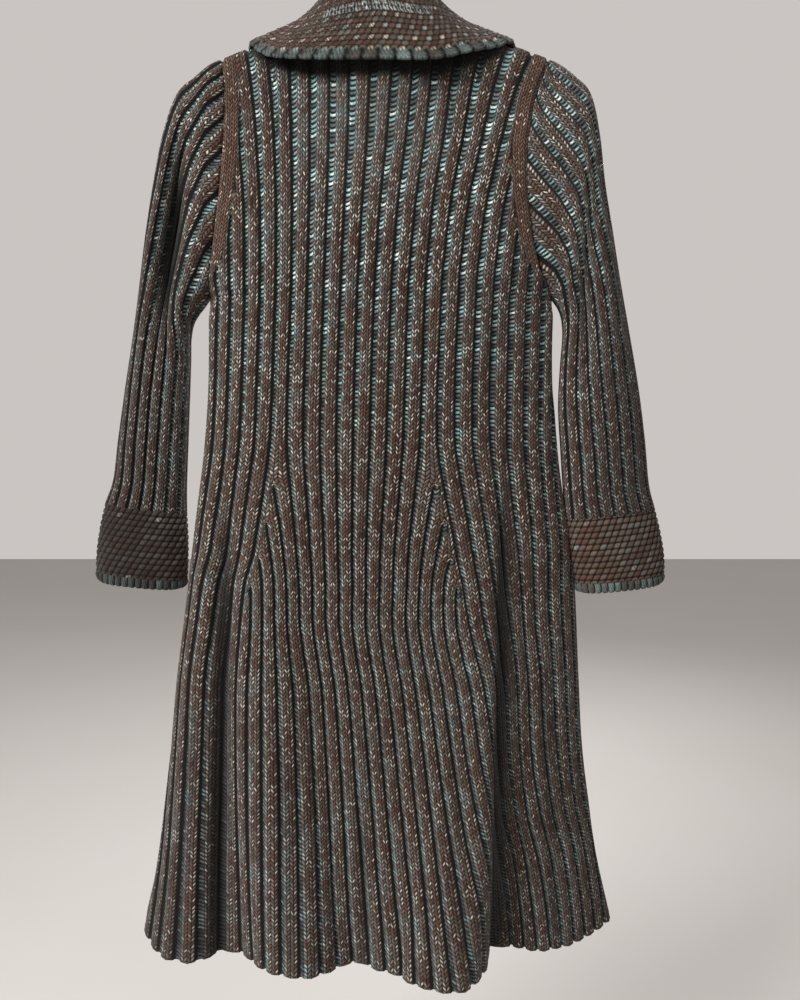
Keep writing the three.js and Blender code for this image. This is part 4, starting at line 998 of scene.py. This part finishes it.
class Finish:
    """A node material that is built up from terms."""

    def __init__(self, name):
        self.material = bpy.data.materials.new(name)
        self.material.use_nodes = True
        self.tree = self.material.node_tree
        self.tree.nodes.clear()

    def node(self, kind, settings, inputs, output=0):
        made = self.tree.nodes.new(kind)
        for key, value in settings.items():
            setattr(made, key, value)
        for key, value in inputs.items():
            if isinstance(value, Term):
                self.tree.links.new(value.socket, made.inputs[key])
            else:
                made.inputs[key].default_value = value
        return Term(self, made.outputs[output]) if len(made.outputs) else None

    def axis(self, vector, number):
        """One of the three numbers of a place."""
        return self.node("ShaderNodeSeparateXYZ", {}, {0: vector}, number)

    def uv(self, name):
        """The two numbers of a UV map."""
        place = self.node("ShaderNodeUVMap", {"uv_map": name}, {})
        return self.axis(place, 0), self.axis(place, 1)

    def spot(self):
        """The place on the object, in metres."""
        return self.node("ShaderNodeTexCoord", {}, {}, "Object")

    def painted(self, name):
        """A painted value of the mesh."""
        return self.node("ShaderNodeAttribute", {"attribute_name": name}, {}, "Fac")

    def bump(self, strength, distance, height):
        return self.node("ShaderNodeBump", {}, {"Strength": strength, "Distance": distance, "Height": height})

    def join(self, x, y, z=0.0):
        return self.node("ShaderNodeCombineXYZ", {}, {0: x, 1: y, 2: z})

    def chance(self, vector):
        """A different number from 0 to 1 for each place."""
        return self.node("ShaderNodeTexWhiteNoise", {"noise_dimensions": "3D"}, {"Vector": vector})

    def noise(self, vector, scale, detail=2.0):
        return self.node("ShaderNodeTexNoise", {}, {"Vector": vector, "Scale": scale, "Detail": detail})

    def blend(self, share, a, b):
        """One colour or another, by the node's sockets for colours."""
        return self.node("ShaderNodeMix", {"data_type": "RGBA"}, {0: share, 6: a, 7: b}, 2)

    def stops(self, value, stops):
        """A colour that runs through stops of place and colour."""
        made = self.tree.nodes.new("ShaderNodeValToRGB")
        ramp = made.color_ramp
        while len(ramp.elements) < len(stops):
            ramp.elements.new(0.5)
        for element, (place, colour) in zip(ramp.elements, stops):
            element.position = place
            element.color = colour
        self.tree.links.new(value.socket, made.inputs[0])
        return Term(self, made.outputs[0])

    def pick(self, share, a, b):
        """One number or another, by the node's sockets for numbers."""
        return self.node("ShaderNodeMix", {"data_type": "FLOAT"}, {0: share, 2: a, 3: b})

    def painted_sleeve_shade(self, spot):
        """Painted shade on the sleeves, which hang turned away from the light: how much of it reaches them.
        """
        across = self.axis(spot, 0)
        near, far = SLEEVE_SPAN
        return across.ramp(-far, -near, LEFT_LIGHT, 1.0) * across.ramp(near, far, 1.0, RIGHT_LIGHT)

    def close(self, **sockets):
        """The finished material, with sockets by name."""
        inputs = {name.replace("_", " "): value for name, value in sockets.items()}
        surface = self.node("ShaderNodeBsdfPrincipled", {}, inputs)
        self.node("ShaderNodeOutputMaterial", {}, {"Surface": surface})
        return self.material


def srgb(red, green, blue):
    """A colour from the 0 to 255 values that it shows on a screen."""
    def linear(value):
        value = value / 255
        return value / 12.92 if value <= 0.04045 else ((value + 0.055) / 1.055) ** 2.4
    return (linear(red), linear(green), linear(blue), 1.0)


MARL = [(0.0, srgb(48, 30, 26)), (0.2, srgb(82, 54, 43)), (0.4, srgb(80, 61, 48)), (0.56, srgb(90, 77, 68)),
        (0.74, srgb(102, 95, 90)), (0.88, srgb(86, 92, 92)), (1.0, srgb(96, 118, 116))]
PURL = [(0.0, srgb(38, 46, 46)), (0.3, srgb(66, 78, 78)), (0.55, srgb(102, 110, 106)),
        (0.78, srgb(108, 148, 150)), (1.0, srgb(206, 212, 204))]
BAND_MARL = [(0.0, srgb(50, 32, 27)), (0.35, srgb(84, 58, 46)), (0.7, srgb(98, 74, 60)),
             (1.0, srgb(104, 88, 76))]
EDGE_MARL = [(0.0, srgb(40, 38, 36)), (0.35, srgb(66, 64, 60)), (0.6, srgb(72, 86, 84)),
             (0.8, srgb(104, 118, 114)), (1.0, srgb(158, 160, 150))]
# DARK is what the painted shade and the dark gaps between stitches blend toward
DARK = srgb(12, 10, 9)
CREAM = srgb(204, 194, 178)
PALE_TEAL = srgb(164, 188, 182)
KNOT_CREAM = srgb(202, 194, 180)
KNOT_TEAL = srgb(150, 174, 170)
ROW_TEAL = srgb(92, 124, 124)
ROW_CREAM = srgb(158, 166, 160)
LEGS = 4
VEE_DEPTH = 0.85
WOOL = {"Roughness": 0.92, "Sheen_Weight": 0.08, "Sheen_Roughness": 0.5, "Specular_IOR_Level": 0.15}
FIBRE_SCALE = 600.0


def rib_knit():
    """Brown marled knit stitches on the ribs, pale and teal purl stitches beside dark lines of painted shadow
    between them, and painted shade in the creases, under the collar and on the sleeves.
    """
    finish = Finish("rib_knit")
    across, row = finish.uv("stitch")
    edge = finish.uv("edge")[0]
    bare, calm, painted_shade = (finish.painted(name) for name in ("plain", "calm", "painted_shade"))
    plain = bare.over(0.5)
    spot = finish.spot()
    skirt = finish.axis(spot, 2).ramp(*SKIRT_SPAN, 1.0, 0.0)
    fine = finish.noise(spot, FIBRE_SCALE)
    wander = (finish.noise(finish.join(across * 2, row * 0.5), 1.0, 1.0) - 0.5) * 0.5

    rib = across.whole()
    inside = across.part()
    trough = inside - inside.over(0.5)
    on_crown = (trough.size() + (fine - 0.5) * 0.06 + bare * 0.4).ramp(0.14, 0.23)
    crown = (inside - SHOULDER_PLACE) / (1 - 2 * SHOULDER_PLACE)
    leg = finish.pick(plain, crown * LEGS, edge * 2)
    stitch = row + wander - (leg * 0.5).swing() * VEE_DEPTH
    along = stitch.swing()
    width = leg.swing()
    knit = (1 - along.power(2.0)) * (1 - width.power(2.6) * 0.9)
    leg_id = leg.whole() + rib * LEGS

    slant = finish.pick(skirt, trough * 0.6 - (trough + 0.02).size() * 2.2, trough * 2.0)
    purl_row = row + slant + wander
    bar = purl_row.swing()
    bump_end = trough + bar * 0.09 + (fine - 0.5) * 0.08
    purl = (1 - bar.power(1.3)) * bump_end.ramp(-0.1, 0.0)

    tone, fleck_draw, shade_draw = (finish.chance(finish.join(leg_id, stitch.whole(), draw))
                                    for draw in (3.0, 11.0, 17.0))
    purl_tone = finish.chance(finish.join(rib + inside.over(0.5), purl_row.whole(), 7.0))
    patch = finish.noise(finish.join(rib * 1.7 + crown * 0.6, row * 0.11), 1.0, 2.0)
    broad = finish.noise(spot, 7.0)
    lean = (1 - crown).power(2.0) * 0.3 * (1 - plain)
    marl = tone * 0.48 + (patch - 0.5) * 1.15 + (broad - 0.5) * 0.5 + lean + 0.12 + calm * 0.18
    band_marl = tone * 0.5 + (patch - 0.5) * 0.5 + 0.3
    colour = finish.blend(plain, finish.stops(marl, MARL), finish.stops(band_marl, BAND_MARL))
    sides = crown.ramp(0.68, 0.78, 0.22, 0.5) + crown.ramp(0.15, 0.3, 0.28, 0.0)
    share = finish.pick(plain, sides + calm * 0.25, 0.1)
    fleck = fleck_draw.ramp(1 - share, 1.0, 0.25, 0.95) * fleck_draw.over(1 - share) * (1 - skirt * 0.25)
    small = calm * 0.25
    fleck = fleck * (1 - along.ramp(0.2 - small * 0.4, 0.7 - small))
    fleck = fleck * (1 - width.ramp(0.3 - small, 0.9 - small))
    colour = finish.blend(fleck, colour, finish.blend(crown.ramp(0.1, 0.5, 0.8, 0.12), CREAM, PALE_TEAL))
    purl_marl = purl_tone * 0.8 + (patch - 0.5) * 0.9 + (fine - 0.5) * 0.5 + 0.12 - skirt * 0.18
    colour = finish.blend(on_crown, finish.stops(purl_marl, PURL), colour)
    shade = finish.pick(calm * 0.55, knit.ramp(0.0, 0.75), 0.75) * (0.62 + shade_draw * 0.45)
    shade = finish.pick(on_crown, purl.ramp(0.25, 0.95) * (1 - skirt * 0.25), shade)
    # Painted shadow: a dark line down the left side of each trough, where the crown beside it shades it from
    # the light on the left; weaker where the ribs lie flatter
    ragged = trough + (bar - 0.5) * 0.05 + (fine - 0.5) * 0.05
    wall = ragged.ramp(-0.24, -0.18) * (1 - ragged.ramp(-0.14, -0.07)) * (1 - calm * 0.45)
    # Painted shade: the cloth darkens in the creases, under the collar's edge and in the sleeves' folds
    shade = shade * finish.pick(plain, 1 - wall, 1.0) * (1 - painted_shade.ramp(0.08, 0.8) * 0.93)
    # Painted shade darkens the sleeves toward the sides
    colour = finish.blend(shade * finish.painted_sleeve_shade(spot), DARK, colour)
    height = finish.pick(on_crown, purl, knit) + fine * 0.3
    return finish.close(Base_Color=colour, Normal=finish.bump(0.9, 0.0015, height), **WOOL)


def basket_knit():
    """Brown basket stitch with pale knots, and chunky grey-teal edge loops, with painted shade in the gaps
    between the knobs and on the cuffs.
    """
    finish = Finish("basket_knit")
    across, row = finish.uv("stitch")
    around, from_edge = finish.uv("edge")
    spot = finish.spot()
    fine = finish.noise(spot, FIBRE_SCALE)
    line = row.whole()
    inside = row - line
    odd = (line * 0.5).part()
    across_x = finish.axis(spot, 0)
    at_cuff = across_x.size().ramp(*CUFF_SPAN)
    shift = across + odd - (inside - 0.5) * finish.pick(at_cuff, BASKET_LEAN, CUFF_LEAN)
    beside = shift.swing()
    above = (inside * 2 - 1).size()
    knob = (1 - beside.power(3.0) * 0.85) * (1 - above.power(2.4) * 0.8)
    # Painted shade in the gaps between the knobs
    knob_gap_shade = beside.ramp(0.35, 0.9) * above.ramp(0.3, 0.9)
    strands = 1 - ((shift.part() * 2 - inside * 1.4) * 2.0).swing().power(3.0) * 0.45
    tone = finish.chance(finish.join(shift.whole(), line, 2.0))
    knot_draw = finish.chance(finish.join(shift.whole(), line, 5.0))
    broad = finish.noise(spot, 12.0)
    colour = finish.stops(tone * 0.42 + (broad - 0.5) * 0.9 + (fine - 0.5) * 0.4 + 0.2, MARL)
    second = (shift.whole() * 0.5).part().over(0.25)
    stroke = ((shift.part() + inside) * 1.7).swing().ramp(0.35, 0.95, 1.0, 0.12)
    knot = odd.over(0.25) * second * (1 - beside.ramp(0.3, 1.0)) * (1 - above.ramp(0.4, 1.05))
    knot = knot * knot_draw.ramp(-0.4, 0.8) * (1 - at_cuff * knot_draw.ramp(0.75, 0.9, 0.95, 0.2))
    colour = finish.blend(knot * stroke, colour, finish.blend(tone.over(0.6), KNOT_CREAM, KNOT_TEAL))
    on_edge = 1 - from_edge.ramp(0.85, 1.05)
    loop = around.swing()
    ply = (around * 3 + from_edge * 1.5).swing()
    edge_height = (1 - loop.power(3.0)) * (1 - ply.power(2.5) * 0.6)
    edge_marl = finish.chance(finish.join(around.whole(), 1.0, 9.0)) * 0.5 + fine * 0.5
    colour = finish.blend(on_edge * 0.9, colour, finish.stops(edge_marl + 0.02, EDGE_MARL))
    near_middle = 1 - across_x.size().ramp(*NECK_SPAN)
    on_row = (1 - (from_edge - NECK_ROW).size().ramp(0.4, 0.55)) * near_middle
    slanted = (around * 3.3 + from_edge * 0.9).swing()
    gap = (around * 1.1 + from_edge * 0.3).swing().ramp(0.5, 0.95)
    colour = finish.blend(on_row * (1 - slanted.ramp(0.2, 0.8)) * (1 - gap), colour,
                          finish.blend(tone, ROW_TEAL, ROW_CREAM))
    height = knob * strands
    height = height + (1 - slanted.power(2.0) - height) * on_row
    height = height + (edge_height - height) * on_edge
    relief = finish.pick(at_cuff, height.ramp(-0.12, 0.7), height.ramp(0.16, 0.8))
    shade = finish.pick(on_edge, relief * (1 - knob_gap_shade * 0.85), height.ramp(0.0, 0.7))
    # Painted shade: the left cuff darker, and the cuffs darker toward the sides like the sleeves
    shaded_cuff = 1 - across_x.ramp(*LEFT_CUFF_SHADE_SPAN, CUFF_SHADE, 0.0)
    shade = shade * (0.56 + knot_draw * 0.46 + at_cuff * 0.6)
    colour = finish.blend(shade * finish.painted_sleeve_shade(spot) * shaded_cuff, DARK, colour)
    return finish.close(Base_Color=colour, Normal=finish.bump(0.9, 0.0016, height + fine * 0.3), **WOOL)


def hanger_plastic():
    """Dark grained plastic, a little worn."""
    finish = Finish("hanger_plastic")
    spot = finish.spot()
    grain = finish.noise(spot, 900.0, 3.0)
    wear = finish.noise(spot, 30.0, 3.0)
    colour = finish.blend(wear.ramp(0.35, 0.7), srgb(30, 30, 31), srgb(46, 46, 47))
    return finish.close(Base_Color=colour, Roughness=wear.ramp(0.2, 0.8, 0.42, 0.58),
                        Normal=finish.bump(0.25, 0.0003, grain))


def hook_steel():
    """Bright drawn wire."""
    finish = Finish("hook_steel")
    stretched = finish.node("ShaderNodeMapping", {}, {"Vector": finish.spot(), "Scale": (900, 900, 60)})
    drawn = finish.noise(stretched, 1.0, 3.0)
    colour = finish.blend(drawn.ramp(0.3, 0.7), srgb(176, 177, 179), srgb(208, 209, 210))
    return finish.close(Base_Color=colour, Metallic=1.0, Roughness=drawn.ramp(0.2, 0.8, 0.18, 0.34))


def floor_finish():
    finish = Finish("pale_floor")
    cloudy = finish.noise(finish.spot(), 2.0, 3.0)
    colour = finish.blend(cloudy, srgb(170, 167, 163), srgb(176, 173, 170))
    return finish.close(Base_Color=colour, Roughness=0.85)


# ---- The cardigan ----

def dress(piece, node, finish):
    """Puts a knitted piece in the place of its solid."""
    piece.data.materials.append(finish)
    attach(piece, "root")
    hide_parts(node)


def front_edges(side):
    """The ends of a front's rows: its band and the side seam."""
    def edges(level):
        left, right = side_edges(level)
        return (left, side * BAND_OUTER) if side < 0 else (side * BAND_OUTER, right)
    return edges


ribbed = rib_knit()
basket = basket_knit()

dress(panel("back_knit", "back", back_columns, side_edges, calm_back),
      "back", ribbed)
for side, label in SIDES.items():
    dress(panel(f"front_{label}_knit", "front", front_columns(side), front_edges(side), calm_front),
          f"front_{label}", ribbed)
    dress(front_band(f"front_band_{label}_knit", side),
          f"front_band_{label}", basket)
    dress(sleeve(f"sleeve_{label}_knit", side), f"sleeve_{label}", ribbed)
    dress(cuff(f"cuff_{label}_knit", side), f"cuff_{label}", basket)
dress(collar("collar_knit"), "collar", basket)

for node, finish in (("hanger", hanger_plastic()), ("hook", hook_steel())):
    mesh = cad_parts[node].data
    mesh.materials.clear()
    mesh.materials.append(finish)


# ---- Stage, light and camera ----

FLOOR_HALF = 6
FLOOR_HEIGHT = -1.66


def make_floor():
    sheet = bmesh.new()
    bmesh.ops.create_grid(sheet, x_segments=8, y_segments=8, size=FLOOR_HALF)
    bmesh.ops.translate(sheet, verts=sheet.verts, vec=(0, 0, FLOOR_HEIGHT))
    mesh = bpy.data.meshes.new("floor")
    sheet.to_mesh(mesh)
    sheet.free()
    floor = placed("floor", mesh)
    floor.data.materials.append(floor_finish())


def area_light(name, place, target, size, power, spread=180):
    """A lamp that faces its target."""
    light = bpy.data.lights.new(name, "AREA")
    light.shape = "RECTANGLE"
    light.size, light.size_y = size
    light.energy = power
    light.spread = math.radians(spread)
    lamp = placed(name, light)
    lamp.location = place
    aim = np.array(target) - np.array(place)
    lamp.rotation_euler = (math.acos(-aim[2] / np.linalg.norm(aim)), 0, math.atan2(aim[0], -aim[1]) + math.pi)


make_floor()
world = bpy.data.worlds.new("studio")
world.use_nodes = True
background = world.node_tree.nodes["Background"].inputs
background["Color"].default_value = (0.95, 0.9, 0.865, 1)
background["Strength"].default_value = 0.62
bpy.context.scene.world = world
bpy.context.scene.view_settings.view_transform = "Standard"
area_light("key", (-2.2, -2.2, 1.1), (0.2, 0.0, -0.7), (1.4, 1.4), 150, spread=150)
area_light("fill", (1.3, -2.0, 0.6), (0.0, 0.0, -0.6), (1.6, 1.6), 10)
area_light("back_light", (0.6, 1.9, 0.8), (0.0, 0.0, -0.6), (1.6, 1.6), 60)

CAMERA_PLACE = (0.0234, -1.018, -0.563)
CAMERA_DIP = 5.0
FOCAL_PIXELS = 870.0
IMAGE_WIDTH = 800.0
SENSOR_WIDTH = 36.0
camera = bpy.data.cameras.new("camera")
camera.sensor_fit = "HORIZONTAL"
camera.sensor_width = SENSOR_WIDTH
camera.lens = FOCAL_PIXELS / IMAGE_WIDTH * SENSOR_WIDTH
camera.clip_end = 50.0
viewer = placed("camera", camera)
viewer.location = CAMERA_PLACE
viewer.rotation_euler = (math.radians(90 - CAMERA_DIP), 0, 0)
bpy.context.scene.camera = viewer
